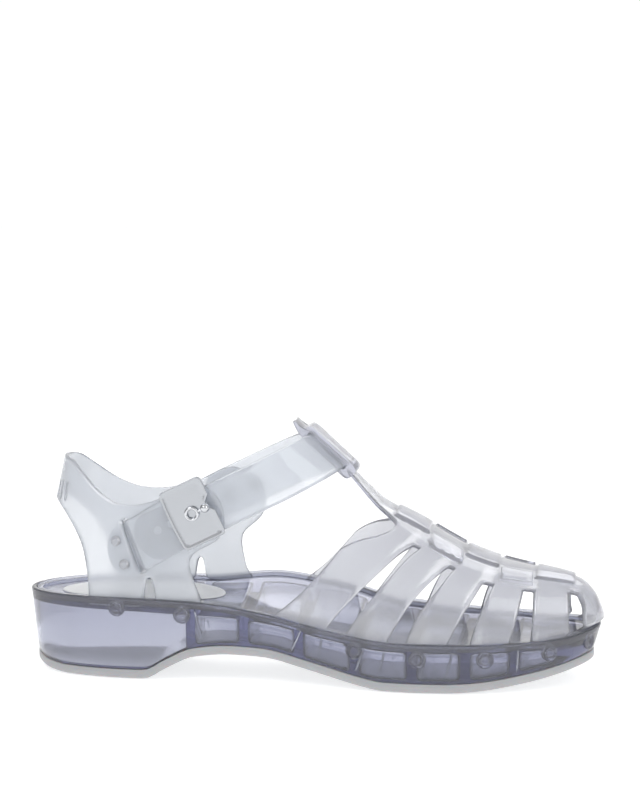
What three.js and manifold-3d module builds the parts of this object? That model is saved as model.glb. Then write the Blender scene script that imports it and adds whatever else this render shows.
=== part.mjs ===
// Jelly sandal, right shoe: a clear moulded cage upper on a clear pocketed sole, with a buckled ankle strap.
// X runs from heel to toe, +Y is the inner (big toe) side, +Z is up. All sizes are millimetres.

import * as THREE from 'three';
import Module from 'manifold-3d';
import { mergeVertices } from 'three/addons/utils/BufferGeometryUtils.js';

const wasm = await Module();
wasm.setup();

// Driving dimensions of the last and the sole
const soleLength = 248.4;
const ballWidth = 87;
const heelWidth = 59.6;
const heelHeight = 35;
const heelRound = 50;
const toeRound = 60;
const heelSpring = 3.5;
const archRise = 11.4;
const toeSpring = 9.2;
const outsoleThickness = 3.8;
const footbedThickness = 8.5;
const footbedDrop = 1.5;
const footbedDish = 1.6;
const soleWallInset = 6.5;
const soleTaper = 2.9;
const rimWall = 2.2;
const rimRound = 0.6;
const ribThickness = 4;
const fitGap = 0.3;
const perimeterSteps = 64;

// Driving dimensions of the upper
const upperWall = 2;
const lastingWidth = 2.6;
const lastingDepth = 5.6;
const lastingLip = 0.4;
const wallSink = 2.5;
const barHeight = 89.5;
const ridgeShift = 3;
const ridgeShiftFrom = 0.6;
const crown = 0.14;
const toeBulge = 4;
const toeBulgeHeight = 4;
const toeBulgeFrom = 0.9;
const weaveRise = 1;
const vampForward = 0.035;
const vampForwardTo = 0.85;
const vampForwardFade = 0.4;
const counterHeight = 93.7;
const counterLean = 0.22;
const slitWidth = 3.4;
const slitTilt = 20.4;
const slitPass = 6.12;
const slitPassStart = 0.38;

// Driving dimensions of the straps and the buckle
const strapWidth = 20.5;
const strapThickness = 2.2;
const strapFrontTilt = 48;
const strapRun = 28;
const strapTip = 19;
const strapTail = 4;
const strapFlatFrom = 4;
const keeperWidth = 14;
const keeperWall = 2.2;
const keeperFoot = 6;
const keeperHead = 2.2;
const finLength = 2.5;
const buckleStrapWidth = 23;
const buckleLobe = 10;
const lobeClearance = 1.8;
const lobeDrift = 0.15;
const buckleOverlap = 6;
const buckleLift = 2.3;
const plateHeight = 27;
const plateWidth = 19.5;
const plateThickness = 1.5;
const plateCorner = 2;
const plateNotch = 2.4;
const pinRadius = 0.9;
const pinBallRadius = 2;
const pinRingRadius = 3;
const studRadius = 3.7;
const studDepth = 0.8;
const studProud = 0.5;
const rivetRadius = 3.2;
const rivetHeight = 0.9;
const wingPinRadius = 2.2;
const badgeLength = 72;
const badgeWidth = 40;
const badgeThickness = 0.8;
const badgeCentre = 0.2;

// Plan outline: half widths of the outer and inner side as shares of the ball width
const outlineTable = [
  { at: 0.00, lateral: 0.343, medial: 0.343 },
  { at: 0.25, lateral: 0.345, medial: 0.340 },
  { at: 0.35, lateral: 0.345, medial: 0.318 },
  { at: 0.45, lateral: 0.368, medial: 0.322 },
  { at: 0.55, lateral: 0.425, medial: 0.380 },
  { at: 0.62, lateral: 0.471, medial: 0.437 },
  { at: 0.70, lateral: 0.500, medial: 0.494 },
  { at: 0.78, lateral: 0.490, medial: 0.502 },
  { at: 0.86, lateral: 0.458, medial: 0.493 },
  { at: 0.93, lateral: 0.440, medial: 0.483 },
  { at: 1.00, lateral: 0.437, medial: 0.460 },
];

// Height of the sole's top edge on each side as shares of the heel height
const rimTable = [
  { at: 0.00, lateral: 1.000, medial: 1.000 },
  { at: 0.15, lateral: 1.014, medial: 1.020 },
  { at: 0.30, lateral: 0.983, medial: 1.029 },
  { at: 0.42, lateral: 0.877, medial: 1.100 },
  { at: 0.54, lateral: 0.706, medial: 0.957 },
  { at: 0.66, lateral: 0.606, medial: 0.700 },
  { at: 0.80, lateral: 0.606, medial: 0.606 },
  { at: 0.92, lateral: 0.614, medial: 0.614 },
  { at: 1.00, lateral: 0.694, medial: 0.694 },
];

// Underside: shares of the heel spring, the arch rise and the toe spring
const bottomTable = [
  { at: 0.00, heel: 1.00, arch: 0.00, toe: 0.00 },
  { at: 0.03, heel: 0.25, arch: 0.00, toe: 0.00 },
  { at: 0.07, heel: 0.00, arch: 0.00, toe: 0.00 },
  { at: 0.21, heel: 0.00, arch: 0.00, toe: 0.00 },
  { at: 0.25, heel: 0.00, arch: 0.42, toe: 0.00 },
  { at: 0.30, heel: 0.00, arch: 0.88, toe: 0.00 },
  { at: 0.36, heel: 0.00, arch: 1.00, toe: 0.00 },
  { at: 0.42, heel: 0.00, arch: 0.96, toe: 0.00 },
  { at: 0.50, heel: 0.00, arch: 0.61, toe: 0.00 },
  { at: 0.60, heel: 0.00, arch: 0.13, toe: 0.00 },
  { at: 0.64, heel: 0.00, arch: 0.00, toe: 0.00 },
  { at: 0.74, heel: 0.00, arch: 0.00, toe: 0.00 },
  { at: 0.80, heel: 0.00, arch: 0.00, toe: 0.07 },
  { at: 0.90, heel: 0.00, arch: 0.00, toe: 0.42 },
  { at: 1.00, heel: 0.00, arch: 0.00, toe: 1.00 },
];

// Ridge line of the instep and toe as shares of the height where the bar meets the strap
const ridgeTable = [
  { at: 0.564, height: 1.000 },
  { at: 0.584, height: 0.945 },
  { at: 0.600, height: 0.901 },
  { at: 0.624, height: 0.842 },
  { at: 0.646, height: 0.807 },
  { at: 0.664, height: 0.784 },
  { at: 0.700, height: 0.733 },
  { at: 0.740, height: 0.670 },
  { at: 0.780, height: 0.612 },
  { at: 0.820, height: 0.571 },
  { at: 0.860, height: 0.543 },
  { at: 0.900, height: 0.523 },
  { at: 0.940, height: 0.500 },
  { at: 0.965, height: 0.472 },
  { at: 0.985, height: 0.413 },
  { at: 0.995, height: 0.355 },
  { at: 1.000, height: 0.313 },
];

// Throat edge: how far along the sole the vamp starts, for each share across from ridge (0) to rim (1)
const throatTable = [
  { across: 0.00, at: 0.564 },
  { across: 0.10, at: 0.564 },
  { across: 0.15, at: 0.600 },
  { across: 0.18, at: 0.627 },
  { across: 0.22, at: 0.645 },
  { across: 0.27, at: 0.654 },
  { across: 0.34, at: 0.648 },
  { across: 0.44, at: 0.627 },
  { across: 0.54, at: 0.600 },
  { across: 0.70, at: 0.552 },
  { across: 0.82, at: 0.511 },
  { across: 0.91, at: 0.476 },
  { across: 1.00, at: 0.435 },
];

// Openings between the bands: their top end across the vamp, and their rear and front edges along the sole
const openingTable = [
  { top: 0.385, rearTop: 0.690, rearUpper: 0.641, rearLower: 0.591, rearFoot: 0.540,
    frontTop: 0.700, frontUpper: 0.660, frontLower: 0.615, frontFoot: 0.575 },
  { top: 0.420, rearTop: 0.752, rearUpper: 0.719, rearLower: 0.679, rearFoot: 0.648,
    frontTop: 0.760, frontUpper: 0.737, frontLower: 0.703, frontFoot: 0.679 },
  { top: 0.455, rearTop: 0.811, rearUpper: 0.796, rearLower: 0.772, rearFoot: 0.752,
    frontTop: 0.828, frontUpper: 0.818, frontLower: 0.802, frontFoot: 0.791 },
  { top: 0.460, rearTop: 0.880, rearUpper: 0.875, rearLower: 0.866, rearFoot: 0.857,
    frontTop: 0.899, frontUpper: 0.899, frontLower: 0.898, frontFoot: 0.895 },
  { top: 0.425, rearTop: 0.950, rearUpper: 0.950, rearLower: 0.950, rearFoot: 0.955,
    frontTop: 0.964, frontUpper: 0.971, frontLower: 0.972, frontFoot: 0.979 },
];
const openingUpper = 0.62;
const openingLower = 0.82;
const openingFoot = 0.96;

// Weave on the ridge: raised pieces from back to front, between an inner and an outer share across
const weaveTable = [
  { from: 0.652, to: 0.708, inner: 0.00, outer: 0.18 },
  { from: 0.716, to: 0.768, inner: 0.16, outer: 0.33 },
  { from: 0.776, to: 0.830, inner: 0.00, outer: 0.19 },
  { from: 0.838, to: 0.890, inner: 0.20, outer: 0.39 },
  { from: 0.898, to: 0.953, inner: 0.00, outer: 0.28 },
];

// Side outline of the counter and its wings: places along the sole at shares of the counter's rise from the rim
const wingRear = [
  { height: 0.698, lateral: 0.010, medial: 0.010 }, { height: 0.695, lateral: 0.040, medial: 0.040 },
  { height: 0.623, lateral: 0.067, medial: 0.067 }, { height: 0.499, lateral: 0.092, medial: 0.092 },
  { height: 0.357, lateral: 0.110, medial: 0.112 }, { height: 0.181, lateral: 0.119, medial: 0.124 },
  { height: 0.015, lateral: 0.123, medial: 0.130 },
];
const wingSlot = [
  { height: -0.001, lateral: 0.219, medial: 0.275 }, { height: 0.122, lateral: 0.223, medial: 0.279 },
  { height: 0.164, lateral: 0.229, medial: 0.284 }, { height: 0.122, lateral: 0.236, medial: 0.289 },
  { height: -0.004, lateral: 0.241, medial: 0.294 },
];
const wingFront = [
  { height: -0.002, lateral: 0.319, medial: 0.384 }, { height: 0.074, lateral: 0.311, medial: 0.370 },
  { height: 0.192, lateral: 0.301, medial: 0.362 }, { height: 0.267, lateral: 0.298, medial: 0.359 },
  { height: 0.330, lateral: 0.305, medial: 0.360 }, { height: 0.369, lateral: 0.320, medial: 0.366 },
  { height: 0.425, lateral: 0.344, medial: 0.382 }, { height: 0.489, lateral: 0.356, medial: 0.396 },
  { height: 0.585, lateral: 0.360, medial: 0.402 }, { height: 0.681, lateral: 0.356, medial: 0.398 },
  { height: 0.777, lateral: 0.344, medial: 0.384 }, { height: 0.848, lateral: 0.316, medial: 0.348 },
  { height: 0.832, lateral: 0.288, medial: 0.324 }, { height: 0.777, lateral: 0.268, medial: 0.298 },
  { height: 0.738, lateral: 0.252, medial: 0.279 }, { height: 0.705, lateral: 0.230, medial: 0.251 },
  { height: 0.681, lateral: 0.204, medial: 0.219 }, { height: 0.687, lateral: 0.174, medial: 0.187 },
  { height: 0.708, lateral: 0.160, medial: 0.166 }, { height: 0.775, lateral: 0.136, medial: 0.134 },
  { height: 0.899, lateral: 0.105, medial: 0.098 }, { height: 0.976, lateral: 0.083, medial: 0.078 },
  { height: 1.000, lateral: 0.058, medial: 0.058 },
];
const wingFloor = { lateral: -0.062, medial: -0.014 };

// Transverse ribs inside the sole, and the plugs along its side, as shares of the sole length
const ribTable = [0.385, 0.490, 0.594, 0.697, 0.790, 0.874, 0.950];
const heelPocketEnd = 0.285;
const studTable = [
  { at: 0.173, drop: 0.125 }, { at: 0.286, drop: 0.170 }, { at: 0.588, drop: 0.170 },
  { at: 0.697, drop: 0.185 }, { at: 0.811, drop: 0.185 }, { at: 0.918, drop: 0.150 },
  { at: 0.985, drop: 0.150 },
];

// Places along the sole: the keeper at a share of the bar's height, the others of the counter's rise from the rim
const keeperPlace = { at: 0.530, height: 1.089 };
const bucklePlace = { at: 0.309, height: 0.608 };
const slitPlace = { at: 0.203, height: 0.379 };
const wingPinTable = [{ at: 0.172, height: 0.416 }, { at: 0.187, height: 0.247 }];

// Studs along the ankle strap's inner end, from the middle of its run
const strapStudTable = [{ run: 5.5, across: -2 }, { run: 18.5, across: -2 }];

// Monotone cubic curve through one column of a table
function tableCurve(rows, input, output) {
  const x = rows.map((row) => row[input]);
  const y = rows.map((row) => row[output]);
  const chord = x.slice(1).map((value, i) => (y[i + 1] - y[i]) / (value - x[i]));
  const slope = x.map((value, i) => {
    if (i === 0) return chord[0];
    if (i === x.length - 1) return chord[i - 1];
    const product = chord[i - 1] * chord[i];
    return product <= 0 ? 0 : (2 * product) / (chord[i - 1] + chord[i]);
  });
  return (value) => {
    const clamped = Math.min(Math.max(value, x[0]), x[x.length - 1]);
    let i = 0;
    while (i < x.length - 2 && clamped > x[i + 1]) i += 1;
    const width = x[i + 1] - x[i];
    const t = (clamped - x[i]) / width;
    const rest = 1 - t;
    return y[i] * (1 + 2 * t) * rest * rest + slope[i] * width * t * rest * rest
      + y[i + 1] * t * t * (3 - 2 * t) - slope[i + 1] * width * t * t * rest;
  };
}

const outlineShare = {
  lateral: tableCurve(outlineTable, 'at', 'lateral'),
  medial: tableCurve(outlineTable, 'at', 'medial'),
};
const rimShare = {
  lateral: tableCurve(rimTable, 'at', 'lateral'),
  medial: tableCurve(rimTable, 'at', 'medial'),
};
const heelLift = tableCurve(bottomTable, 'at', 'heel');
const archLift = tableCurve(bottomTable, 'at', 'arch');
const toeLift = tableCurve(bottomTable, 'at', 'toe');
const ridgeShare = tableCurve(ridgeTable, 'at', 'height');
const throatAt = tableCurve(throatTable, 'across', 'at');

function smoothStep(value) {
  const t = Math.min(Math.max(value, 0), 1);
  return t * t * (3 - 2 * t);
}

function lerp(a, b, t) {
  return a + (b - a) * t;
}

function sideName(side) {
  return side < 0 ? 'lateral' : 'medial';
}

// Round plan ends of heel and toe, as the share of the full width that is left
function endRound(at) {
  const heel = Math.max(1 - (at * soleLength) / heelRound, 0);
  const toe = Math.max(1 - ((1 - at) * soleLength) / toeRound, 0);
  return Math.sqrt(Math.max(1 - heel * heel, 0)) * Math.sqrt(Math.max(1 - toe * toe, 0));
}

// Nested outlines: each is the plan outline drawn in by an inset
function alongAt(at, inset) {
  return inset + at * (soleLength - 2 * inset);
}

function halfWidthAt(at, side, inset) {
  return (outlineShare[sideName(side)](at) * ballWidth - inset) * endRound(at);
}

function rimHeight(at, side) {
  return rimShare[sideName(side)](at) * heelHeight;
}

function bottomHeight(at) {
  return heelLift(at) * heelSpring + archLift(at) * archRise + toeLift(at) * toeSpring;
}

// Closed solid from points and triangles, with equal points merged
function solidFrom(points, triangles) {
  const raw = new THREE.BufferGeometry();
  raw.setAttribute('position', new THREE.Float32BufferAttribute(points, 3));
  raw.setIndex(triangles);
  return solidFromGeometry(raw);
}

function solidFromGeometry(source) {
  const bare = source.clone();
  bare.deleteAttribute('normal');
  bare.deleteAttribute('uv');
  const merged = mergeVertices(bare, 1e-4);
  const index = merged.index.array;
  const kept = [];
  for (let i = 0; i < index.length; i += 3) {
    const [a, b, c] = [index[i], index[i + 1], index[i + 2]];
    if (a !== b && b !== c && c !== a) kept.push(a, b, c);
  }
  return new wasm.Manifold(new wasm.Mesh({
    numProp: 3,
    vertProperties: new Float32Array(merged.attributes.position.array),
    triVerts: new Uint32Array(kept),
  }));
}

// Curved slab between two depths of one surface, on a grid of rows and columns
function slab(surface, rows, columns, innerDepth, outerDepth, seamAtEnd = false) {
  const points = [];
  const triangles = [];
  const layer = rows.length * columns.length;
  [outerDepth, innerDepth].forEach((depth) => {
    rows.forEach((u) => columns.forEach((v) => points.push(...surface(u, v, depth))));
  });
  const at = (i, j, side) => side * layer + i * columns.length + j;
  const quad = (a, b, c, d) => triangles.push(a, b, c, a, c, d);
  for (let i = 0; i < rows.length - 1; i += 1) {
    for (let j = 0; j < columns.length - 1; j += 1) {
      quad(at(i, j, 0), at(i + 1, j, 0), at(i + 1, j + 1, 0), at(i, j + 1, 0));
      quad(at(i, j, 1), at(i, j + 1, 1), at(i + 1, j + 1, 1), at(i + 1, j, 1));
    }
    const last = columns.length - 1;
    quad(at(i, 0, 0), at(i, 0, 1), at(i + 1, 0, 1), at(i + 1, 0, 0));
    quad(at(i, last, 0), at(i + 1, last, 0), at(i + 1, last, 1), at(i, last, 1));
  }
  for (let j = 0; j < columns.length - 1; j += 1) {
    const last = rows.length - 1;
    quad(at(0, j, 0), at(0, j + 1, 0), at(0, j + 1, 1), at(0, j, 1));
    if (!seamAtEnd) quad(at(last, j, 0), at(last, j, 1), at(last, j + 1, 1), at(last, j + 1, 0));
  }
  return solidFrom(points, triangles);
}

function spread(from, to, steps) {
  return Array.from({ length: steps + 1 }, (unused, i) => lerp(from, to, i / steps));
}

// One closed ring of the perimeter: heel to toe on the lateral side and back on the medial side
function perimeter(inset, height) {
  return Array.from({ length: perimeterSteps }, (unused, k) => {
    const turn = (2 * Math.PI * k) / perimeterSteps;
    const at = (1 - Math.cos(turn)) / 2;
    const side = k < perimeterSteps / 2 ? -1 : 1;
    return [alongAt(at, inset), side * halfWidthAt(at, side, inset), height(at, side)];
  });
}

// Solid of stacked rings: a closed loop when its ends meet, or capped across from side to side
function ringSolid(rings, capColumns, topDish) {
  const points = rings.flat(2);
  const triangles = [];
  const count = perimeterSteps;
  const quad = (a, b, c, d) => triangles.push(a, b, c, a, c, d);
  const bands = capColumns ? rings.length - 1 : rings.length;
  for (let r = 0; r < bands; r += 1) {
    const next = (r + 1) % rings.length;
    for (let k = 0; k < count; k += 1) {
      const step = (k + 1) % count;
      quad(r * count + k, r * count + step, next * count + step, next * count + k);
    }
  }
  if (capColumns) {
    capAcross(points, triangles, rings[0], capColumns, 0, true);
    capAcross(points, triangles, rings[rings.length - 1], capColumns, topDish, false);
  }
  return solidFrom(points, triangles);
}

function capAcross(points, triangles, ring, columns, dish, down) {
  const start = points.length / 3;
  const half = perimeterSteps / 2;
  for (let i = 0; i <= half; i += 1) {
    const left = ring[i];
    const right = ring[(perimeterSteps - i) % perimeterSteps];
    for (let j = 0; j <= columns; j += 1) {
      const t = j / columns;
      const hollow = dish * 4 * t * (1 - t) * Math.sin((Math.PI * i) / half);
      points.push(lerp(left[0], right[0], t), lerp(left[1], right[1], t));
      points.push(lerp(left[2], right[2], t) - hollow);
    }
  }
  const at = (i, j) => start + i * (columns + 1) + j;
  for (let i = 0; i < half; i += 1) {
    for (let j = 0; j < columns; j += 1) {
      const [a, b, c, d] = [at(i, j), at(i + 1, j), at(i + 1, j + 1), at(i, j + 1)];
      if (down) triangles.push(a, c, b, a, d, c);
      else triangles.push(a, b, c, a, c, d);
    }
  }
}

function placedMesh(name, solid, material) {
  const mesh = solid.getMesh();
  const geometry = new THREE.BufferGeometry();
  geometry.setAttribute('position', new THREE.BufferAttribute(mesh.vertProperties, 3));
  geometry.setIndex(new THREE.BufferAttribute(mesh.triVerts, 1));
  geometry.computeVertexNormals();
  const placed = new THREE.Mesh(geometry, material);
  placed.name = name;
  return placed;
}

// Outsole: a plain rubber sheet that follows the underside
const outsoleTop = (at) => bottomHeight(at) + outsoleThickness;

function makeOutsole() {
  return ringSolid([
    perimeter(soleTaper + rimRound, (at) => bottomHeight(at)),
    perimeter(soleTaper, (at) => bottomHeight(at) + rimRound),
    perimeter(soleTaper, outsoleTop),
  ], 2, 0);
}

// Point on the side wall of the sole, from its bottom (share 0) to its rim (share 1)
const soleBottom = (at) => outsoleTop(at) + fitGap;
const sideInset = (share) => soleTaper * (1 - share);
const sideHeight = (share) => (at, side) => lerp(soleBottom(at), rimHeight(at, side) - rimRound, share);
const channelInset = rimWall + fitGap;
const footbedInset = channelInset + lastingWidth + fitGap;
const footbedHeight = (at, side) => rimHeight(at, side) - footbedDrop;

// Sole: clear body with a rim, a channel for the upper, and pockets that open underneath
function makeSoleBody() {
  const channelFloor = (at, side) => rimHeight(at, side) - lastingDepth - lastingLip - fitGap;
  return ringSolid([
    perimeter(sideInset(0), sideHeight(0)),
    perimeter(sideInset(1), sideHeight(1)),
    perimeter(rimRound, rimHeight),
    perimeter(rimWall, rimHeight),
    perimeter(rimWall, channelFloor),
    perimeter(footbedInset, channelFloor),
    perimeter(footbedInset, footbedHeight),
  ], 4, footbedDish);
}

function pocketSolid(from, to) {
  const steps = Math.max(2, Math.round((to - from) * 40));
  const rows = spread(0, 1, steps).map((t) => (from > 0 ? lerp(from, to, t) : to * t * t));
  return slab((at, across, depth) => {
    const lateral = halfWidthAt(at, -1, soleWallInset);
    const medial = halfWidthAt(at, 1, soleWallInset);
    const roof = lerp(rimHeight(at, -1), rimHeight(at, 1), across) - footbedThickness;
    const floor = bottomHeight(at) + outsoleThickness / 2;
    return [alongAt(at, soleWallInset), lerp(-lateral, medial, across), depth > 0 ? roof : floor];
  }, rows, [0, 0.5, 1], 0, 1);
}

function pocketRanges() {
  const halfRib = ribThickness / 2 / soleLength;
  const ranges = [[0, heelPocketEnd]];
  let from = heelPocketEnd + 2 * halfRib;
  ribTable.forEach((at) => {
    ranges.push([from, at - halfRib]);
    from = at + halfRib;
  });
  return ranges;
}

// A plug axis leaves the side wall at right angles in plan
function studFrame(row, side) {
  const height = rimHeight(row.at, side) - row.drop * heelHeight;
  const bottom = soleBottom(row.at);
  const inset = sideInset((height - bottom) / (rimHeight(row.at, side) - rimRound - bottom));
  const span = 0.01;
  const pointAt = (at) => new THREE.Vector3(
    alongAt(at, inset), side * halfWidthAt(at, side, inset), height);
  const along = pointAt(row.at + span).sub(pointAt(row.at - span)).normalize();
  const outward = new THREE.Vector3(-side * along.y, side * along.x, 0);
  return { origin: pointAt(row.at), outward };
}

function discSolid(frame, radius, inner, outer, segments = 12) {
  const disc = new THREE.CylinderGeometry(radius, radius, outer - inner, segments);
  disc.translate(0, (inner + outer) / 2, 0);
  const turn = new THREE.Quaternion().setFromUnitVectors(new THREE.Vector3(0, 1, 0), frame.outward);
  disc.applyQuaternion(turn);
  disc.translate(frame.origin.x, frame.origin.y, frame.origin.z);
  return solidFromGeometry(disc);
}

const badgeRecess = badgeThickness + fitGap;

function badgeSolid(lower, upper, grow) {
  const seatHeight = footbedHeight(badgeCentre, -1) - footbedDish;
  const oval = new THREE.CylinderGeometry(1, 1, upper - lower, 24);
  oval.rotateX(Math.PI / 2);
  oval.scale(badgeLength / 2 + grow, badgeWidth / 2 + grow, 1);
  oval.translate(badgeCentre * soleLength, 0, seatHeight + (lower + upper) / 2);
  return solidFromGeometry(oval);
}

function makeSole() {
  let body = makeSoleBody();
  pocketRanges().forEach(([from, to]) => {
    body = body.subtract(pocketSolid(from, to));
  });
  studPlaces.forEach((place) => {
    body = body.subtract(discSolid(place.frame, studRadius + fitGap, -studDepth - fitGap, 2 * studDepth));
  });
  return body.subtract(badgeSolid(-badgeRecess, 2 * footbedDish, fitGap));
}

const studPlaces = [-1, 1].flatMap((side) => studTable.map((row, i) => ({
  name: `side_plug_${sideName(side)}_${i + 1}`,
  frame: studFrame(row, side),
})));

// Vamp: a dome over the foot between two nested surfaces; negative depth is outside the wall
const upperInset = channelInset + fitGap;

function vampPoint(at, across, depth) {
  const side = across < 0 ? -1 : 1;
  const inset = upperInset + depth;
  const turn = ((1 - Math.abs(across)) * Math.PI) / 2;
  const ridgeY = ridgeShift * (1 - smoothStep((at - ridgeShiftFrom) / (1 - ridgeShiftFrom)));
  const reach = halfWidthAt(at, side, inset) - side * ridgeY;
  const base = rimHeight(at, side) - wallSink;
  const rise = ridgeShare(at) * barHeight - depth - base;
  const height = base + rise * Math.sin(turn) * (1 + crown * Math.cos(turn) ** 2);
  const front = smoothStep((at - toeBulgeFrom) / (1 - toeBulgeFrom));
  const bulge = toeBulge * front * smoothStep((height - rimHeight(at, side)) / toeBulgeHeight);
  return [
    alongAt(at, inset) + bulge,
    ridgeY + side * reach * Math.cos(turn) * (1 + crown * Math.sin(turn) ** 2),
    height,
  ];
}

// The inner side's edges lie further forward than the outer side's
function sideShift(at, across) {
  const fade = smoothStep((vampForwardTo - at) / vampForwardFade);
  return across > 0 ? vampForward * across * fade : 0;
}

function makeVampShell() {
  const halfColumns = [0.05, 0.1, 0.13, 0.16, 0.2, 0.25, 0.34, 0.45, 0.57, 0.7, 0.83, 0.92, 1];
  const columns = [...halfColumns.map((value) => -value).reverse(), 0, ...halfColumns];
  const rows = spread(0, 1, 18).map((t) => 1 - (1 - t) ** 1.6);
  return slab((t, across, depth) => {
    const start = throatAt(Math.abs(across));
    return vampPoint(lerp(start + sideShift(start, across), 1, t), across, depth);
  }, rows, columns, upperWall, 0, true);
}

function openingSolid(row, side) {
  const levels = [
    { across: row.top, rear: row.rearTop, front: row.frontTop },
    { across: openingUpper, rear: row.rearUpper, front: row.frontUpper },
    { across: openingLower, rear: row.rearLower, front: row.frontLower },
    { across: openingFoot, rear: row.rearFoot, front: row.frontFoot },
  ];
  const rear = tableCurve(levels, 'across', 'rear');
  const front = tableCurve(levels, 'across', 'front');
  const columns = spread(side < 0 ? -openingFoot : row.top, side < 0 ? -row.top : openingFoot, 5);
  return slab((t, across, depth) => {
    const at = lerp(rear(Math.abs(across)), front(Math.abs(across)), t);
    return vampPoint(at + sideShift(at, across), across, depth);
  }, [0, 1], columns, 4 * upperWall, -3 * upperWall);
}

function weaveSolids(row) {
  const piece = (inner, outer) => slab(
    vampPoint, spread(row.from, row.to, 3), spread(inner, outer, 4), upperWall / 2, -weaveRise);
  if (row.inner === 0) return [piece(-row.outer, row.outer)];
  return [piece(-row.outer, -row.inner), piece(row.inner, row.outer)];
}

// Lasting band: the ring round the footbed that the bands and the counter grow from
function makeLastingBand() {
  const lower = (at, side) => rimHeight(at, side) - lastingLip - lastingDepth;
  const upper = (at, side) => rimHeight(at, side) - lastingLip;
  return ringSolid([
    perimeter(channelInset, lower),
    perimeter(channelInset, upper),
    perimeter(channelInset + lastingWidth, upper),
    perimeter(channelInset + lastingWidth, lower),
  ], 0, 0);
}

// Counter: a heel wall that leans forward and turns flat at the ankle
function counterLevel(share) {
  return lerp(heelHeight, counterHeight, share);
}

function counterPoint(height, along, depth) {
  const side = along < 0 ? -1 : 1;
  const at = Math.abs(along);
  const inset = upperInset + depth;
  const above = Math.max(height - rimHeight(at, side) - lastingLip, 0);
  const full = lerp(outlineShare[sideName(side)](at) * ballWidth, heelWidth / 2,
    smoothStep((2 * above) / heelHeight));
  return [
    alongAt(at, inset) + counterLean * above,
    side * (full - inset) * endRound(at),
    height,
  ];
}

function makeCounterShell() {
  const arc = spread(0, 1, 8).map((t) => (heelRound / soleLength) * t * t);
  const side = [...arc.slice(1), 0.27, 0.33, 0.37, 0.42];
  const stations = [...side.map((value) => -value).reverse(), 0, ...side];
  const heights = [-0.1, 0, 0.12, 0.3, 0.52, 0.76, 1.03].map(counterLevel);
  return slab(counterPoint, heights, stations, upperWall, 0);
}

function wingOutline(side) {
  const place = (row) => new THREE.Vector2(row[sideName(side)] * soleLength, counterLevel(row.height));
  const smooth = (rows, count) => new THREE.SplineCurve(rows.map(place)).getPoints(count);
  const floor = counterLevel(wingFloor[sideName(side)]);
  const below = (point) => new THREE.Vector2(point.x, floor);
  const rear = smooth(wingRear, 10);
  const slot = smooth(wingSlot, 8);
  const front = smooth(wingFront, 30);
  const back = new THREE.Vector2(0, counterHeight);
  const backLow = new THREE.Vector2(0, rear[0].y);
  return [backLow, ...rear, below(rear[rear.length - 1]), below(slot[0]), ...slot,
    below(slot[slot.length - 1]), below(front[0]), ...front, back];
}

// Prism of a side outline, from the middle plane out to one side
function sidePrism(outline, side) {
  const overlap = upperWall / 4;
  const prism = new THREE.ExtrudeGeometry(new THREE.Shape(outline), {
    depth: ballWidth, bevelEnabled: false, curveSegments: 1,
  });
  prism.translate(0, 0, side < 0 ? -overlap : overlap - ballWidth);
  prism.rotateX(Math.PI / 2);
  return solidFromGeometry(prism);
}

function makeCounter() {
  const shell = makeCounterShell();
  const lateral = shell.intersect(sidePrism(wingOutline(-1), -1));
  const medial = shell.intersect(sidePrism(wingOutline(1), 1));
  return lateral.add(medial);
}

// Ankle strap: rulings along a path that runs straight beside the ankle and turns over the instep
const wingFace = heelWidth / 2 - upperInset;
const strapMiddle = wingFace + fitGap + strapThickness / 2;
const radians = Math.PI / 180;
const strapCentreX = bucklePlace.at * soleLength;
const strapCentreZ = counterLevel(bucklePlace.height);
const keeperAhead = keeperPlace.at * soleLength - strapCentreX;
const keeperAbove = keeperPlace.height * barHeight - strapCentreZ;
const strapTilt = Math.atan2(keeperAbove, keeperAhead) / radians;
const strapReach = Math.hypot(keeperAhead, keeperAbove);
const strapTurn = strapReach - strapRun;

// Path places: run along the strap from the buckle, and distance to the side
function strapPath(place) {
  const arc = strapRun + (Math.PI / 2) * strapTurn;
  const side = place < arc ? -1 : 1;
  const left = side < 0 ? place : 2 * arc - place;
  if (left <= strapRun) return { run: left, aside: side * strapMiddle, turn: 0, side };
  const turn = (left - strapRun) / strapTurn;
  return {
    run: strapRun + strapTurn * Math.sin(turn),
    aside: side * strapMiddle * Math.cos(turn),
    turn,
    side,
  };
}

const strapFront = strapRun + (Math.PI / 2) * strapTurn;
const strapEnd = 2 * strapFront + strapTail;

function strapPoint(place, across, depth) {
  const path = strapPath(place);
  const base = strapTilt * radians;
  const lean = lerp(strapTilt, strapFrontTilt, smoothStep(path.turn / (Math.PI / 2))) * radians;
  const nose = new THREE.Vector3(Math.cos(base), 0, Math.sin(base));
  const flatNormal = new THREE.Vector3(0, path.side * Math.cos(path.turn), 0)
    .addScaledVector(new THREE.Vector3(Math.cos(lean), 0, Math.sin(lean)), Math.sin(path.turn))
    .normalize();
  const point = new THREE.Vector3(strapCentreX, path.aside, strapCentreZ)
    .addScaledVector(nose, path.run)
    .addScaledVector(new THREE.Vector3(-Math.sin(lean), 0, Math.cos(lean)), across)
    .addScaledVector(flatNormal, depth);
  return point.toArray();
}

// The strap's outline has round ends
function strapHalfWidth(place, from, to) {
  const half = strapWidth / 2;
  const near = Math.min(place - from, to - place, half);
  return Math.sqrt(Math.max(half * half - (half - near) ** 2, 0.04));
}

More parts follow.
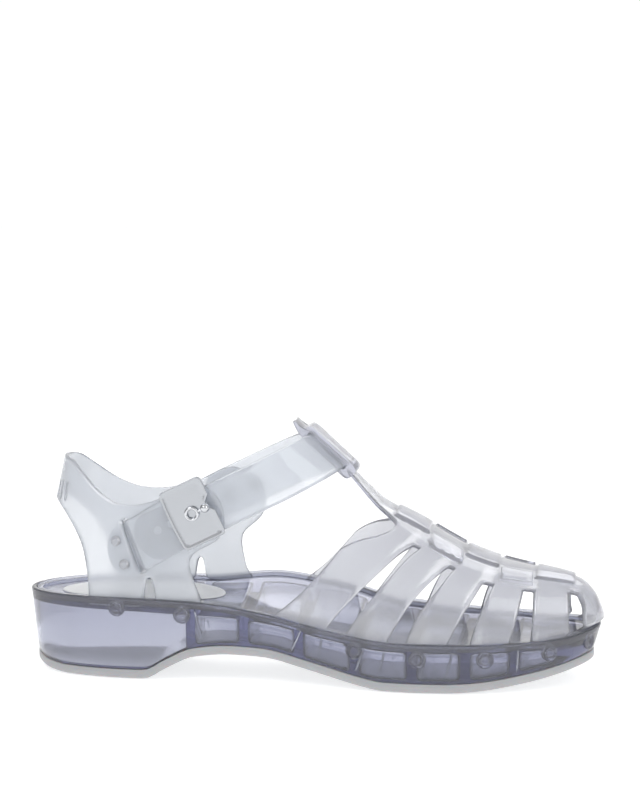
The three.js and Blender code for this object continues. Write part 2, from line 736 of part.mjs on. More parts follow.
function makeAnkleStrap() {
  const from = -strapTip;
  const to = strapEnd;
  const half = strapWidth / 2;
  const roundEnd = [0, 0.06, 0.22, 0.5, 1].map((share) => share * half);
  const middle = spread(strapRun, to - strapRun - half, 20);
  const places = [...roundEnd.map((value) => from + value), strapFlatFrom, ...middle,
    ...roundEnd.map((value) => to - value).reverse()].filter((value, i, all) => i === 0 || value > all[i - 1]);
  return slab((place, share, depth) => strapPoint(
    place, share * strapHalfWidth(place, from, to), depth,
  ), places, [-1, 0, 1], -strapThickness / 2, strapThickness / 2);
}

// Keeper: a loop over the strap at the top of the bar, with a small fin behind it
function makeKeeper() {
  const halfTurn = Math.asin(keeperWidth / 2 / strapMiddle) * strapTurn;
  const places = spread(strapFront - halfTurn, strapFront + halfTurn, 4);
  const clear = strapWidth / 2 + 2 * fitGap;
  const skin = strapThickness / 2 + fitGap;
  const lower = -clear - keeperFoot;
  const upper = clear + keeperHead;
  const block = slab(strapPoint, places, [lower, 0, upper], -skin - keeperWall, skin + keeperWall);
  const wide = spread(places[0] - keeperWidth / 4, places[4] + keeperWidth / 4, 4);
  const slot = slab(strapPoint, wide, [-clear, 0, clear], -skin, skin);
  const finEnds = [upper - keeperHead / 2, upper + finLength];
  const fin = slab(strapPoint, places, finEnds, -skin - keeperWall, -skin);
  return block.subtract(slot).add(fin);
}

// Slit in the lateral wing for the buckle strap
const slitX = slitPlace.at * soleLength;
const slitZ = counterLevel(slitPlace.height);

function slitCutter() {
  const cutter = new THREE.BoxGeometry(slitWidth, 6 * upperWall, buckleStrapWidth + 4 * fitGap);
  cutter.rotateY(-slitTilt * radians);
  cutter.translate(slitX, -wingFace, slitZ);
  return solidFromGeometry(cutter);
}

function makeUpper() {
  let upper = makeVampShell();
  openingTable.forEach((row) => {
    upper = upper.subtract(openingSolid(row, -1)).subtract(openingSolid(row, 1));
  });
  weaveTable.forEach((row) => {
    weaveSolids(row).forEach((piece) => {
      upper = upper.add(piece);
    });
  });
  return upper.add(makeKeeper()).add(makeLastingBand()).add(makeCounter().subtract(slitCutter()));
}

// Buckle strap: from an inner lobe through the slit and over the ankle strap to the buckle
const buckleX = strapCentreX;
const buckleZ = strapCentreZ + buckleLift;
const buckleRun = Math.hypot(buckleX - slitX, buckleZ - slitZ);
const buckleStrapMiddle = strapMiddle + strapThickness + fitGap;

function buckleStrapPoint(place, across, depth) {
  const tilt = lerp(slitTilt, strapTilt, smoothStep(place / buckleRun)) * radians;
  const share = place / buckleRun;
  const behind = Math.max(-place - slitWidth / 2, 0);
  const inside = wingFace - upperWall - strapThickness / 2 - lobeClearance - lobeDrift * behind;
  const pass = smoothStep(place / slitPass + slitPassStart);
  return [
    lerp(slitX, buckleX, share) - across * Math.sin(tilt),
    -lerp(inside, buckleStrapMiddle, pass) - depth,
    lerp(slitZ, buckleZ, share) + across * Math.cos(tilt),
  ];
}

function makeBuckleStrap() {
  const half = buckleStrapWidth / 2;
  const lobe = [0.02, 0.12, 0.4, 1].map((share) => ({
    place: -slitWidth - buckleLobe * (1 - share),
    width: half * Math.sqrt(1 - (1 - share) ** 2),
  }));
  const pass = spread(-slitPass / 2, slitPass, 6).map((place) => ({ place, width: half }));
  const end = { place: buckleRun + buckleOverlap, width: half };
  const rows = [...lobe, ...pass, end];
  return slab((row, share, depth) => buckleStrapPoint(row.place, share * row.width, depth),
    rows, [-1, 0, 1], -strapThickness / 2, strapThickness / 2);
}

// Buckle: a flat plate with a notch in its front edge, and a ring with a ball-headed prong
const plateFace = buckleStrapMiddle + strapThickness / 2 + fitGap;

function onBuckle(geometry, lift) {
  geometry.rotateX(Math.PI / 2);
  geometry.rotateY(-strapTilt * radians);
  geometry.translate(buckleX, -plateFace - lift, buckleZ);
  return solidFromGeometry(geometry);
}

function makeBucklePlate() {
  const [w, h, r] = [plateWidth / 2, plateHeight / 2, plateCorner];
  const outline = new THREE.Shape();
  outline.moveTo(-w + r, -h);
  outline.lineTo(w - r, -h);
  outline.absarc(w - r, -h + r, r, -Math.PI / 2, 0, false);
  outline.lineTo(w, -plateNotch);
  outline.lineTo(w - plateNotch, 0);
  outline.lineTo(w - plateNotch, plateNotch);
  outline.lineTo(w, 2 * plateNotch);
  outline.absarc(w - r, h - r, r, 0, Math.PI / 2, false);
  outline.absarc(-w + r, h - r, r, Math.PI / 2, Math.PI, false);
  outline.quadraticCurveTo(-w - r / 2, 0, -w, -h + r);
  outline.absarc(-w + r, -h + r, r, Math.PI, 1.5 * Math.PI, false);
  const plate = new THREE.ExtrudeGeometry(outline, {
    depth: plateThickness, bevelEnabled: false, curveSegments: 4,
  });
  return onBuckle(plate, 0);
}

function makeBucklePin() {
  const lift = plateThickness + fitGap + pinRadius;
  const reach = plateWidth / 2 - pinBallRadius - plateNotch / 2;
  const ring = onBuckle(new THREE.TorusGeometry(pinRingRadius - pinRadius, pinRadius, 6, 14), lift);
  const bar = new THREE.CylinderGeometry(pinRadius, pinRadius, reach, 8);
  bar.rotateZ(Math.PI / 2);
  bar.translate(reach / 2, 0, 0);
  const ball = new THREE.SphereGeometry(pinBallRadius, 10, 8);
  ball.translate(reach, 0, 0);
  const ballLift = plateThickness + fitGap + pinBallRadius;
  return ring.add(onBuckle(bar, lift)).add(onBuckle(ball, ballLift));
}

// Studs that hold the ankle strap to the inner wing, and pins that hold the buckle strap's lobe
function strapStud(row) {
  const place = 2 * strapFront - row.run;
  const origin = new THREE.Vector3(...strapPoint(place, row.across, strapThickness / 2 + fitGap));
  return discSolid({ origin, outward: new THREE.Vector3(0, 1, 0) }, rivetRadius, 0, rivetHeight);
}

function wingPin(row) {
  const height = counterLevel(row.height);
  const lean = counterLean * (height - rimHeight(row.at, -1) - lastingLip);
  const at = row.at - (lean + upperInset * (1 - 2 * row.at)) / soleLength;
  const span = wingPinRadius / soleLength;
  const pointAt = (rise, place) => new THREE.Vector3(...counterPoint(height + rise, -place, -fitGap));
  const along = pointAt(0, at + span).sub(pointAt(0, at - span));
  const upward = pointAt(wingPinRadius, at).sub(pointAt(-wingPinRadius, at));
  const outward = along.cross(upward).normalize();
  return discSolid({ origin: pointAt(0, at), outward }, wingPinRadius, 0, rivetHeight);
}

const clearMaterial = new THREE.MeshStandardMaterial({ color: 0xd3d6de, roughness: 0.2, metalness: 0 });
const soleMaterial = new THREE.MeshStandardMaterial({ color: 0xb4b8cc, roughness: 0.2, metalness: 0 });
const rubberMaterial = new THREE.MeshStandardMaterial({ color: 0xe4e5e6, roughness: 0.6, metalness: 0 });
const steelMaterial = new THREE.MeshStandardMaterial({ color: 0xc4c8cc, roughness: 0.3, metalness: 1 });
const badgeMaterial = new THREE.MeshStandardMaterial({ color: 0xf2f3f4, roughness: 0.4, metalness: 0 });

const sandal = new THREE.Group();
sandal.add(placedMesh('outsole', makeOutsole(), rubberMaterial));
sandal.add(placedMesh('sole', makeSole(), soleMaterial));
sandal.add(placedMesh('upper', makeUpper(), clearMaterial));
sandal.add(placedMesh('ankle_strap', makeAnkleStrap(), clearMaterial));
sandal.add(placedMesh('buckle_strap', makeBuckleStrap(), clearMaterial));
sandal.add(placedMesh('buckle_plate', makeBucklePlate(), steelMaterial));
sandal.add(placedMesh('buckle_pin', makeBucklePin(), steelMaterial));
sandal.add(placedMesh('heel_badge', badgeSolid(-badgeThickness, 0, 0), badgeMaterial));
studPlaces.forEach((place) => {
  sandal.add(placedMesh(place.name, discSolid(place.frame, studRadius, -studDepth, studProud), soleMaterial));
});
strapStudTable.forEach((row, i) => {
  sandal.add(placedMesh(`strap_stud_${i + 1}`, strapStud(row), clearMaterial));
});
wingPinTable.forEach((row, i) => {
  sandal.add(placedMesh(`wing_pin_${i + 1}`, wingPin(row), clearMaterial));
});

// The origin is under the middle of the shoe, on the floor
const bounds = new THREE.Box3().setFromObject(sandal);
const middle = bounds.getCenter(new THREE.Vector3());
sandal.position.set(-middle.x, -middle.y, -bounds.min.z);
sandal.updateMatrixWorld(true);

export default sandal;
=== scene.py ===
"""Jelly sandal, right shoe: clear moulded PVC, satin metal buckle, pale rubber outsole, white studio."""
import math

import bmesh
import bpy
import numpy as np
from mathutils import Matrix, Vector, geometry, kdtree


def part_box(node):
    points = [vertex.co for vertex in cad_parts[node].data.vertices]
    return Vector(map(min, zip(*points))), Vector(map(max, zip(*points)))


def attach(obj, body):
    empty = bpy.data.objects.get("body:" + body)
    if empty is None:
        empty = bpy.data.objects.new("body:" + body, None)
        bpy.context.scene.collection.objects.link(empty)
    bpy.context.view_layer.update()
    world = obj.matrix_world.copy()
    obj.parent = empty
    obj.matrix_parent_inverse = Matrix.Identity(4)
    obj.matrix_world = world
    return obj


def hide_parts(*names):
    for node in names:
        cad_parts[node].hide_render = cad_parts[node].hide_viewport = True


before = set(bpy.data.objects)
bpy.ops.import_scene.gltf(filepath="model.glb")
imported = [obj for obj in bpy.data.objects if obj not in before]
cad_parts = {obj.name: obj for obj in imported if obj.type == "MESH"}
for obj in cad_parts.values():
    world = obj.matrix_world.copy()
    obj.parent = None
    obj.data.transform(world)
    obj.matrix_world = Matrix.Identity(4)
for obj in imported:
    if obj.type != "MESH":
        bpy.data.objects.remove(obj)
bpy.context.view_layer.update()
bpy.ops.object.select_all(action="DESELECT")

# Sizes in millimetres, in a frame with the heel's back at X = 0 and the middle plane at Y = 0
SOLE_LENGTH = 248.4
BALL_WIDTH = 87
HEEL_WIDTH = 59.6
HEEL_HEIGHT = 35
HEEL_ROUND = 50
TOE_ROUND = 60
HEEL_SPRING = 3.5
ARCH_RISE = 11.4
TOE_SPRING = 9.2
OUTSOLE = 3.8
FOOTBED_DROP = 1.5
FOOTBED_DISH = 1.6
SOLE_TAPER = 2.9
RIM_WALL = 2.2
FIT_GAP = 0.3
WALL = 2
LASTING_WIDTH = 2.6
LASTING_DEPTH = 2.6
LASTING_LIP = 0.4
WALL_SINK = 2.5
BAR_HEIGHT = 89.5
RIDGE_SHIFT = 3
RIDGE_SHIFT_END = 0.6
CROWN = 0.14
TOE_START = 0.9
TOE_BULGE = 4
COUNTER_HEIGHT = 93.7
COUNTER_RISE = COUNTER_HEIGHT - HEEL_HEIGHT
COUNTER_LEAN = 0.22
STRAP_WIDTH = 20.5
STRAP_THICK = 2.2
STRAP_TILT = 26
STRAP_FRONT_TILT = 48
STRAP_X = 76.8
STRAP_Z = 70.7
STRAP_RUN = 28
STRAP_TURN = 33
SLIT_TILT = 20.4
BUCKLE_Z = 73
PIN_RADIUS = 0.7
PIN_RING = 3.2
PIN_BALL = 2
KEEPER_WIDTH = 14
KEEPER_WALL = 2.2
KEEPER_FOOT = 4.5
FIN_LENGTH = 7
FIN_RISE = 2.4
FIN_TIP = 1.4
FIN_ROOT = 2.6
PLATE_WIDTH = 19.5
PLATE_HEIGHT = 27
PLATE_CORNER = 2
PLATE_BORDER = 1.5
PLATE_SINK = 0.25
PLATE_NOTCH = 2.4
PLATE_THICK = 1.5
BADGE_LENGTH = 72
BADGE_WIDTH = 40
BADGE_CENTRE = 0.2

CHANNEL = RIM_WALL + FIT_GAP
FOOTBED_INSET = CHANNEL + LASTING_WIDTH + FIT_GAP
UPPER_INSET = CHANNEL + FIT_GAP
WING_FACE = HEEL_WIDTH / 2 - UPPER_INSET
STRAP_MIDDLE = WING_FACE + FIT_GAP + STRAP_THICK / 2
BUCKLE_MIDDLE = STRAP_MIDDLE + STRAP_THICK + FIT_GAP
PLATE_FACE = BUCKLE_MIDDLE + STRAP_THICK / 2 + FIT_GAP

# Place along the sole, then the outer and the inner half width as shares of the ball width
OUTLINE = [
    (0.00, 0.343, 0.343), (0.25, 0.345, 0.340), (0.35, 0.345, 0.318), (0.45, 0.368, 0.322),
    (0.55, 0.425, 0.380), (0.62, 0.471, 0.437), (0.70, 0.500, 0.494), (0.78, 0.490, 0.502),
    (0.86, 0.458, 0.493), (0.93, 0.440, 0.483), (1.00, 0.437, 0.460),
]
# Place along, then the rim height on the outer and the inner side as shares of the heel height
RIM = [
    (0.00, 1.000, 1.000), (0.15, 1.014, 1.020), (0.30, 0.983, 1.029), (0.42, 0.877, 1.100),
    (0.54, 0.706, 0.957), (0.66, 0.606, 0.700), (0.80, 0.606, 0.606), (0.92, 0.614, 0.614),
    (1.00, 0.694, 0.694),
]
# Place along, then shares of the heel spring, the arch rise and the toe spring
BOTTOM = [
    (0.00, 1.00, 0, 0), (0.03, 0.25, 0, 0), (0.07, 0, 0, 0), (0.21, 0, 0, 0), (0.25, 0, 0.42, 0),
    (0.30, 0, 0.88, 0), (0.36, 0, 1.00, 0), (0.42, 0, 0.96, 0), (0.50, 0, 0.61, 0),
    (0.60, 0, 0.13, 0), (0.64, 0, 0, 0), (0.74, 0, 0, 0), (0.80, 0, 0, 0.07), (0.90, 0, 0, 0.42),
    (1.00, 0, 0, 1.00),
]
# Ridge of the instep and toe as shares of the bar's height
RIDGE = [
    (0.564, 1.000), (0.584, 0.945), (0.600, 0.901), (0.624, 0.842), (0.646, 0.807), (0.664, 0.784),
    (0.700, 0.733), (0.740, 0.670), (0.780, 0.612), (0.820, 0.571), (0.860, 0.543), (0.900, 0.523),
    (0.940, 0.500), (0.965, 0.472), (0.985, 0.413), (0.995, 0.355), (1.000, 0.313),
]
# Throat edge: share across from ridge to rim, then the place along
THROAT = [
    (0.00, 0.564), (0.10, 0.564), (0.15, 0.600), (0.18, 0.627), (0.22, 0.645), (0.27, 0.654),
    (0.34, 0.648), (0.44, 0.627), (0.54, 0.600), (0.70, 0.552), (0.82, 0.511), (0.91, 0.476),
    (1.00, 0.435),
]
# Openings: shares across, with the rear and the front edge along the sole at each
OPENINGS = [
    [(0.385, 0.690, 0.700), (0.62, 0.641, 0.660), (0.82, 0.591, 0.615), (0.975, 0.540, 0.575)],
    [(0.420, 0.752, 0.760), (0.62, 0.719, 0.737), (0.82, 0.679, 0.703), (0.975, 0.648, 0.679)],
    [(0.455, 0.811, 0.828), (0.62, 0.796, 0.818), (0.82, 0.772, 0.802), (0.975, 0.752, 0.791)],
    [(0.460, 0.880, 0.899), (0.62, 0.875, 0.899), (0.82, 0.866, 0.898), (0.975, 0.857, 0.895)],
    [(0.425, 0.950, 0.964), (0.62, 0.950, 0.971), (0.82, 0.950, 0.972), (0.975, 0.955, 0.979)],
]
# Weave: raised pieces from back to front, between an inner and an outer share across
WEAVE = [
    (0.652, 0.708, 0.00, 0.18), (0.716, 0.768, 0.16, 0.33), (0.776, 0.830, 0.00, 0.19),
    (0.838, 0.890, 0.20, 0.39), (0.898, 0.953, 0.00, 0.28),
]
WEAVE_RISE = 0.9
# Counter and wing outlines: share of the counter's rise from the rim, then the place on each side
WING_REAR = [
    (0.698, 0.010, 0.010), (0.695, 0.040, 0.040), (0.623, 0.067, 0.067), (0.499, 0.092, 0.092),
    (0.357, 0.110, 0.112), (0.181, 0.119, 0.124), (0.015, 0.123, 0.130),
]
WING_SLOT = [
    (-0.001, 0.219, 0.275), (0.122, 0.223, 0.279), (0.164, 0.229, 0.284), (0.122, 0.236, 0.289),
    (-0.004, 0.241, 0.294),
]
WING_FRONT = [
    (-0.002, 0.319, 0.384), (0.074, 0.311, 0.370), (0.192, 0.301, 0.362), (0.267, 0.298, 0.359),
    (0.330, 0.305, 0.360), (0.369, 0.320, 0.366), (0.425, 0.344, 0.382), (0.489, 0.356, 0.396),
    (0.585, 0.360, 0.402), (0.681, 0.356, 0.398), (0.777, 0.344, 0.384), (0.848, 0.316, 0.348),
    (0.832, 0.288, 0.324), (0.777, 0.268, 0.298), (0.738, 0.252, 0.279), (0.705, 0.230, 0.251),
    (0.681, 0.204, 0.219), (0.687, 0.174, 0.187), (0.708, 0.160, 0.166), (0.775, 0.136, 0.134),
    (0.899, 0.105, 0.098), (0.976, 0.083, 0.078), (1.000, 0.058, 0.058),
]
WING_FLOOR = (-0.062, -0.014)
# Three short grip grooves at the counter's back: top and lower end in the side view, in millimetres
GRIP_LINES = [(15.9, 82.2, 14.4, 74.8), (17.8, 82.4, 16.3, 74.5), (20.1, 82.2, 18.8, 74.2)]
GRIP_HALF_WIDE = 0.35
GRIP_DEPTH = 0.5
# Cross ribs inside the sole, and how far below the rim the hollow cells begin
RIBS = [0.385, 0.490, 0.594, 0.697, 0.790, 0.874, 0.950]
RIB_THICK = 4
HEEL_CELL_END = 0.285
CELL_ROOF = [(0.00, 5.2), (0.28, 6.2), (0.45, 5.0), (0.60, 4.4), (1.00, 4.4)]
CELL_INSET = 4.2
CELL_FRONT_INSET = 3.5
CELL_FLOOR = 1.2
# Where the bands' edges run on down the sole's side: distance from the heel near the rim and at the bottom
LEG_LINES = [(76.3, 80.5), (123.8, 117.7), (132.4, 130.2), (151.2, 145.8), (159.9, 155.5), (177.2, 173.3),
             (188.1, 183.8), (214.5, 213.5)]
LEG_LINE = 0.6
LEG_TOP, LEG_LOW = 0.86, 0.14
# Rounded edges: sole's rim, its inner edge, footbed, lasting band, outsole, joint of outsole and sole
RIM_ROUND = 0.7
RIM_INNER_ROUND = 0.4
BED_ROUND = 0.5
LASTING_ROUND = 0.4
OUTSOLE_ROUND = 0.9
JOINT_ROUND = 0.3
# The inner side's bands start further forward towards the rim, up to a place along the sole
INNER_FORWARD = 0.035
INNER_FORWARD_END = 0.85
INNER_FORWARD_RUN = 0.4
# The outer wing's slit, and the buckle strap's lobe behind it
SLIT_HALF_LONG = 12.1
SLIT_HALF_WIDE = 1.7
LOBE_HALF = 11.5
LOBE_LENGTH = 10
LOBE_START = -3.4
LOBE_GAP = 1.8
LOBE_LEAN = 0.15
SLIT_PASS = 6.12
SLIT_PASS_START = 0.38
# The ankle strap's punched end: its place, how long and how square its rounding is, and its holes
STRAP_END = -26.3
STRAP_TIP = 0.7
STRAP_SQUARENESS = 0.85
HOLES = (-16.5, -10, -3.5)
HOLE_UP = 1.5
HOLE_RADIUS = 1.9
# Discs: start of the node's name, radius, slot, and rings as radius shares and heights in millimetres
DISCS = [
    ("side_plug", 3.7, "clear_sole", [
        (1, -1.1), (1, -0.2), (0.97, -0.05), (0.9, 0), (0.84, -0.02), (0.77, -0.5), (0.66, -0.5),
        (0.59, -0.06), (0.42, 0), (0.34, -0.05), (0.28, -0.4), (0.05, -0.4)]),
    ("strap_stud", 3.2, "clear_upper", [
        (1, -0.85), (1, -0.25), (0.9, -0.02), (0.6, 0), (0.5, -0.2), (0.05, -0.2)]),
    ("wing_pin", 2.2, "clear_upper", [(1, -0.85), (1, -0.3), (0.85, -0.05), (0.3, 0), (0.05, 0)]),
]
# Badge: rings from its underside's middle over its edge and border groove, as radius shares and heights
BADGE_RINGS = [
    (0.02, 0.06), (0.3, 0.06), (0.6, 0.06), (0.98, 0.06), (1.0, 0.2), (0.995, 0.45), (0.975, 0.6),
    (0.9, 0.6), (0.885, 0.45), (0.87, 0.6), (0.6, 0.6), (0.3, 0.6), (0.02, 0.6),
]


# Curves and surfaces

def curve(rows, column=1):
    """Monotone cubic through one column of a table."""
    x = np.array([row[0] for row in rows], float)
    y = np.array([row[column] for row in rows], float)
    chord = np.diff(y) / np.diff(x)
    slope = np.zeros(len(x))
    slope[0], slope[-1] = chord[0], chord[-1]
    same = chord[:-1] * chord[1:] > 0
    total = np.where(same, chord[:-1] + chord[1:], 1)
    slope[1:-1] = np.where(same, 2 * chord[:-1] * chord[1:] / total, 0)

    def value(at):
        at = np.clip(at, x[0], x[-1])
        i = np.clip(np.searchsorted(x, at) - 1, 0, len(x) - 2)
        width = x[i + 1] - x[i]
        t = (at - x[i]) / width
        rest = 1 - t
        return (y[i] * (1 + 2 * t) * rest ** 2 + slope[i] * width * t * rest ** 2
                + y[i + 1] * t ** 2 * (3 - 2 * t) - slope[i + 1] * width * t ** 2 * rest)
    return value


outer_share, inner_share = curve(OUTLINE, 1), curve(OUTLINE, 2)
outer_rim, inner_rim = curve(RIM, 1), curve(RIM, 2)
heel_lift, arch_lift, toe_lift = curve(BOTTOM, 1), curve(BOTTOM, 2), curve(BOTTOM, 3)
ridge_share = curve(RIDGE)
throat_at = curve(THROAT)
cell_roof = curve(CELL_ROOF)


def smooth_step(value):
    t = np.clip(value, 0, 1)
    return t * t * (3 - 2 * t)


def end_round(at):
    heel = np.maximum(1 - at * SOLE_LENGTH / HEEL_ROUND, 0)
    toe = np.maximum(1 - (1 - at) * SOLE_LENGTH / TOE_ROUND, 0)
    return np.sqrt(np.maximum(1 - heel ** 2, 0)) * np.sqrt(np.maximum(1 - toe ** 2, 0))


def along(at, inset):
    return inset + at * (SOLE_LENGTH - 2 * inset)


def full_share(at, side):
    return np.where(side < 0, outer_share(at), inner_share(at))


def half_width(at, side, inset):
    return (full_share(at, side) * BALL_WIDTH - inset) * end_round(at)


def rim_height(at, side):
    return np.where(side < 0, outer_rim(at), inner_rim(at)) * HEEL_HEIGHT


def bottom_height(at):
    return heel_lift(at) * HEEL_SPRING + arch_lift(at) * ARCH_RISE + toe_lift(at) * TOE_SPRING


def vamp(at, across, depth):
    """Dome over the toes; depth is how far inside the outer face a point lies."""
    side = np.where(across < 0, -1, 1)
    inset = UPPER_INSET + depth
    turn = (1 - np.abs(across)) * math.pi / 2
    ridge_y = RIDGE_SHIFT * (1 - smooth_step((at - RIDGE_SHIFT_END) / (1 - RIDGE_SHIFT_END)))
    reach = half_width(at, side, inset) - side * ridge_y
    base = rim_height(at, side) - WALL_SINK
    rise = ridge_share(at) * BAR_HEIGHT - depth - base
    height = base + rise * np.sin(turn) * (1 + CROWN * np.cos(turn) ** 2)
    front = smooth_step((at - TOE_START) / (1 - TOE_START))
    # The bulge begins half a millimetre below the rim and is full two above it
    bulge = TOE_BULGE * front * smooth_step((height - rim_height(at, side)) / WALL_SINK + 0.2)
    y = ridge_y + side * reach * np.cos(turn) * (1 + CROWN * np.sin(turn) ** 2)
    return np.stack([along(at, inset) + bulge, y, height], -1)


def side_shift(at, across):
    forward = INNER_FORWARD * across * smooth_step((INNER_FORWARD_END - at) / INNER_FORWARD_RUN)
    return np.where(across > 0, forward, 0)


def counter(place, height, depth):
    """Heel wall; a negative place is on the outer side."""
    side = np.where(place < 0, -1, 1)
    at = np.abs(place)
    inset = UPPER_INSET + depth
    above = np.maximum(height - rim_height(at, side) - LASTING_LIP, 0)
    blend = smooth_step(2 * above / HEEL_HEIGHT)
    full = full_share(at, side) * BALL_WIDTH * (1 - blend) + HEEL_WIDTH / 2 * blend
    x = along(at, inset) + COUNTER_LEAN * above
    return np.stack([x, side * (full - inset) * end_round(at), height + 0 * x], -1)


STRAP_ARC = STRAP_RUN + math.pi / 2 * STRAP_TURN


def strap(place, across, depth):
    """Ankle strap: straight beside the ankle, turned over the instep. Place runs from the buckle."""
    side = np.where(place < STRAP_ARC, -1, 1)
    left = np.where(side < 0, place, 2 * STRAP_ARC - place)
    turn = np.maximum(left - STRAP_RUN, 0) / STRAP_TURN
    run = np.where(left <= STRAP_RUN, left, STRAP_RUN + STRAP_TURN * np.sin(turn))
    base = math.radians(STRAP_TILT)
    lean = np.radians(STRAP_TILT + (STRAP_FRONT_TILT - STRAP_TILT) * smooth_step(turn / (math.pi / 2)))
    normal = np.stack([np.cos(lean) * np.sin(turn), side * np.cos(turn), np.sin(lean) * np.sin(turn)], -1)
    point = np.stack([STRAP_X + math.cos(base) * run, side * STRAP_MIDDLE * np.cos(turn),
                      STRAP_Z + math.sin(base) * run], -1)
    up = np.stack([-np.sin(lean), 0 * lean, np.cos(lean)], -1)
    return point + up * np.asarray(across)[..., None] + normal * np.asarray(depth + 0 * run)[..., None]


SLIT_X = 0.203 * SOLE_LENGTH
SLIT_Z = HEEL_HEIGHT + 0.379 * COUNTER_RISE
BUCKLE_RUN = math.hypot(STRAP_X - SLIT_X, BUCKLE_Z - SLIT_Z)


def buckle_strap(place, across, depth):
    """From an inner lobe, out through the wing's slit and over the ankle strap."""
    blend = smooth_step(place / BUCKLE_RUN)
    tilt = np.radians(SLIT_TILT + (STRAP_TILT - SLIT_TILT) * blend)
    behind = np.maximum(-place - SLIT_HALF_WIDE, 0)
    inside = WING_FACE - WALL - STRAP_THICK / 2 - LOBE_GAP - LOBE_LEAN * behind
    out = smooth_step(place / SLIT_PASS + SLIT_PASS_START)
    share = place / BUCKLE_RUN
    x = SLIT_X + (STRAP_X - SLIT_X) * share - across * np.sin(tilt)
    y = -(inside + (BUCKLE_MIDDLE - inside) * out) - depth
    z = SLIT_Z + (BUCKLE_Z - SLIT_Z) * share + across * np.cos(tilt)
    return np.stack([x, y + 0 * x, z], -1)


# Building pieces

# Where the heel's back and the middle plane lie in the frame, in millimetres
sole_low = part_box("sole")[0]
badge_low, badge_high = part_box("heel_badge")
PLACE = np.array([sole_low.x * 1000, (badge_low.y + badge_high.y) * 500, 0])
FLAT = np.array([1.0, 1.0])
# Moulded pieces: turns of an edge's rings, width of a raised strip's slope, inner points' clearance
EDGE_TURNS = np.radians([0, 30, 60, 90])
SLOPE = 0.7
GRID_CLEAR = 0.45


def new_piece(name, points, faces, finish):
    """A smooth mesh from points in millimetres, merged, with its faces turned outwards."""
    mesh = bpy.data.meshes.new(name)
    located = (np.asarray(points, float) + PLACE) / 1000
    mesh.from_pydata(located.tolist(), [], [list(map(int, face)) for face in faces])
    piece = bpy.data.objects.new(name, mesh)
    bpy.context.scene.collection.objects.link(piece)
    work = bmesh.new()
    work.from_mesh(mesh)
    bmesh.ops.remove_doubles(work, verts=work.verts, dist=2e-6)
    bmesh.ops.dissolve_degenerate(work, edges=work.edges, dist=1e-7)
    bmesh.ops.recalc_face_normals(work, faces=work.faces)
    work.to_mesh(mesh)
    work.free()
    mesh.shade_smooth()
    mesh.materials.append(finish)
    return piece


def seat(piece, slot_name, *stands_for):
    """The piece belongs to the shoe and stands for CAD nodes, which are hidden; the slot name is not used.
    """
    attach(piece, "root")
    if stands_for:
        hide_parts(*stands_for)
    return piece


def joined(pieces):
    """All the pieces in one, which keeps the first one's name."""
    bpy.ops.object.select_all(action="DESELECT")
    for piece in pieces:
        piece.select_set(True)
    bpy.context.view_layer.objects.active = pieces[0]
    bpy.ops.object.join()
    pieces[0].select_set(False)
    return pieces[0]


def round_edges(piece, width, angle, segments):
    """Rounds the edges sharper than an angle in degrees by a width in millimetres."""
    bpy.ops.object.select_all(action="DESELECT")
    bpy.context.view_layer.objects.active = piece
    piece.select_set(True)
    bevel = piece.modifiers.new("Bevel", "BEVEL")
    bevel.width = width / 1000
    bevel.segments = segments
    bevel.limit_method = "ANGLE"
    bevel.angle_limit = math.radians(angle)
    bpy.ops.object.modifier_apply(modifier=bevel.name)
    piece.select_set(False)
    return piece


def angles(count):
    return 2 * math.pi * np.arange(count) / count


def resample(loop, step=1.0, scale=FLAT, count=None):
    """Even spacing round a closed loop, by a step in millimetres or by a number of points."""
    loop = np.vstack([loop, loop[:1]])
    length = np.concatenate([[0], np.cumsum(np.linalg.norm(np.diff(loop * scale, axis=0), axis=1))])
    count = count or max(int(round(length[-1] / step)), 4)
    wanted = np.linspace(0, length[-1], count + 1)[:-1]
    return np.stack([np.interp(wanted, length, loop[:, k]) for k in range(2)], -1)


def soften(loop, passes, hold=None):
    """Rounds the corners of a closed loop; held points stay."""
    for _ in range(passes):
        eased = (np.roll(loop, 1, 0) + 2 * loop + np.roll(loop, -1, 0)) / 4
        loop = eased if hold is None else np.where(hold[:, None], loop, eased)
    return loop


def turned(loop, anticlockwise):
    """The loop, reversed if it runs the other way."""
    loop = np.asarray(loop, float)
    following = np.roll(loop, -1, 0)
    area = float(np.sum(loop[:, 0] * following[:, 1] - following[:, 0] * loop[:, 1])) / 2
    return loop if (area > 0) == anticlockwise else loop[::-1]


def inside(points, loop):
    """Even-odd test of points against a closed loop."""
    result = np.zeros(len(points), bool)
    ahead = np.roll(loop, -1, 0)
    for (x0, y0), (x1, y1) in zip(loop, ahead):
        if y0 == y1:
            continue
        crosses = (points[:, 1] > min(y0, y1)) & (points[:, 1] <= max(y0, y1))
        at_x = x0 + (points[:, 1] - y0) * (x1 - x0) / (y1 - y0)
        result ^= crosses & (points[:, 0] < at_x)
    return result


def on_face(points, loops):
    """Which points lie inside the first loop and outside the others."""
    result = inside(points, loops[0])
    for hole in loops[1:]:
        result &= ~inside(points, hole)
    return result


def distances(points, others, scale):
    """How far each point is from the nearest of the others, in millimetres."""
    tree = kdtree.KDTree(len(others))
    for number, (x, y) in enumerate(others * scale):
        tree.insert((x, y, 0), number)
    tree.balance()
    return np.array([tree.find((x, y, 0))[2] for x, y in points * scale])


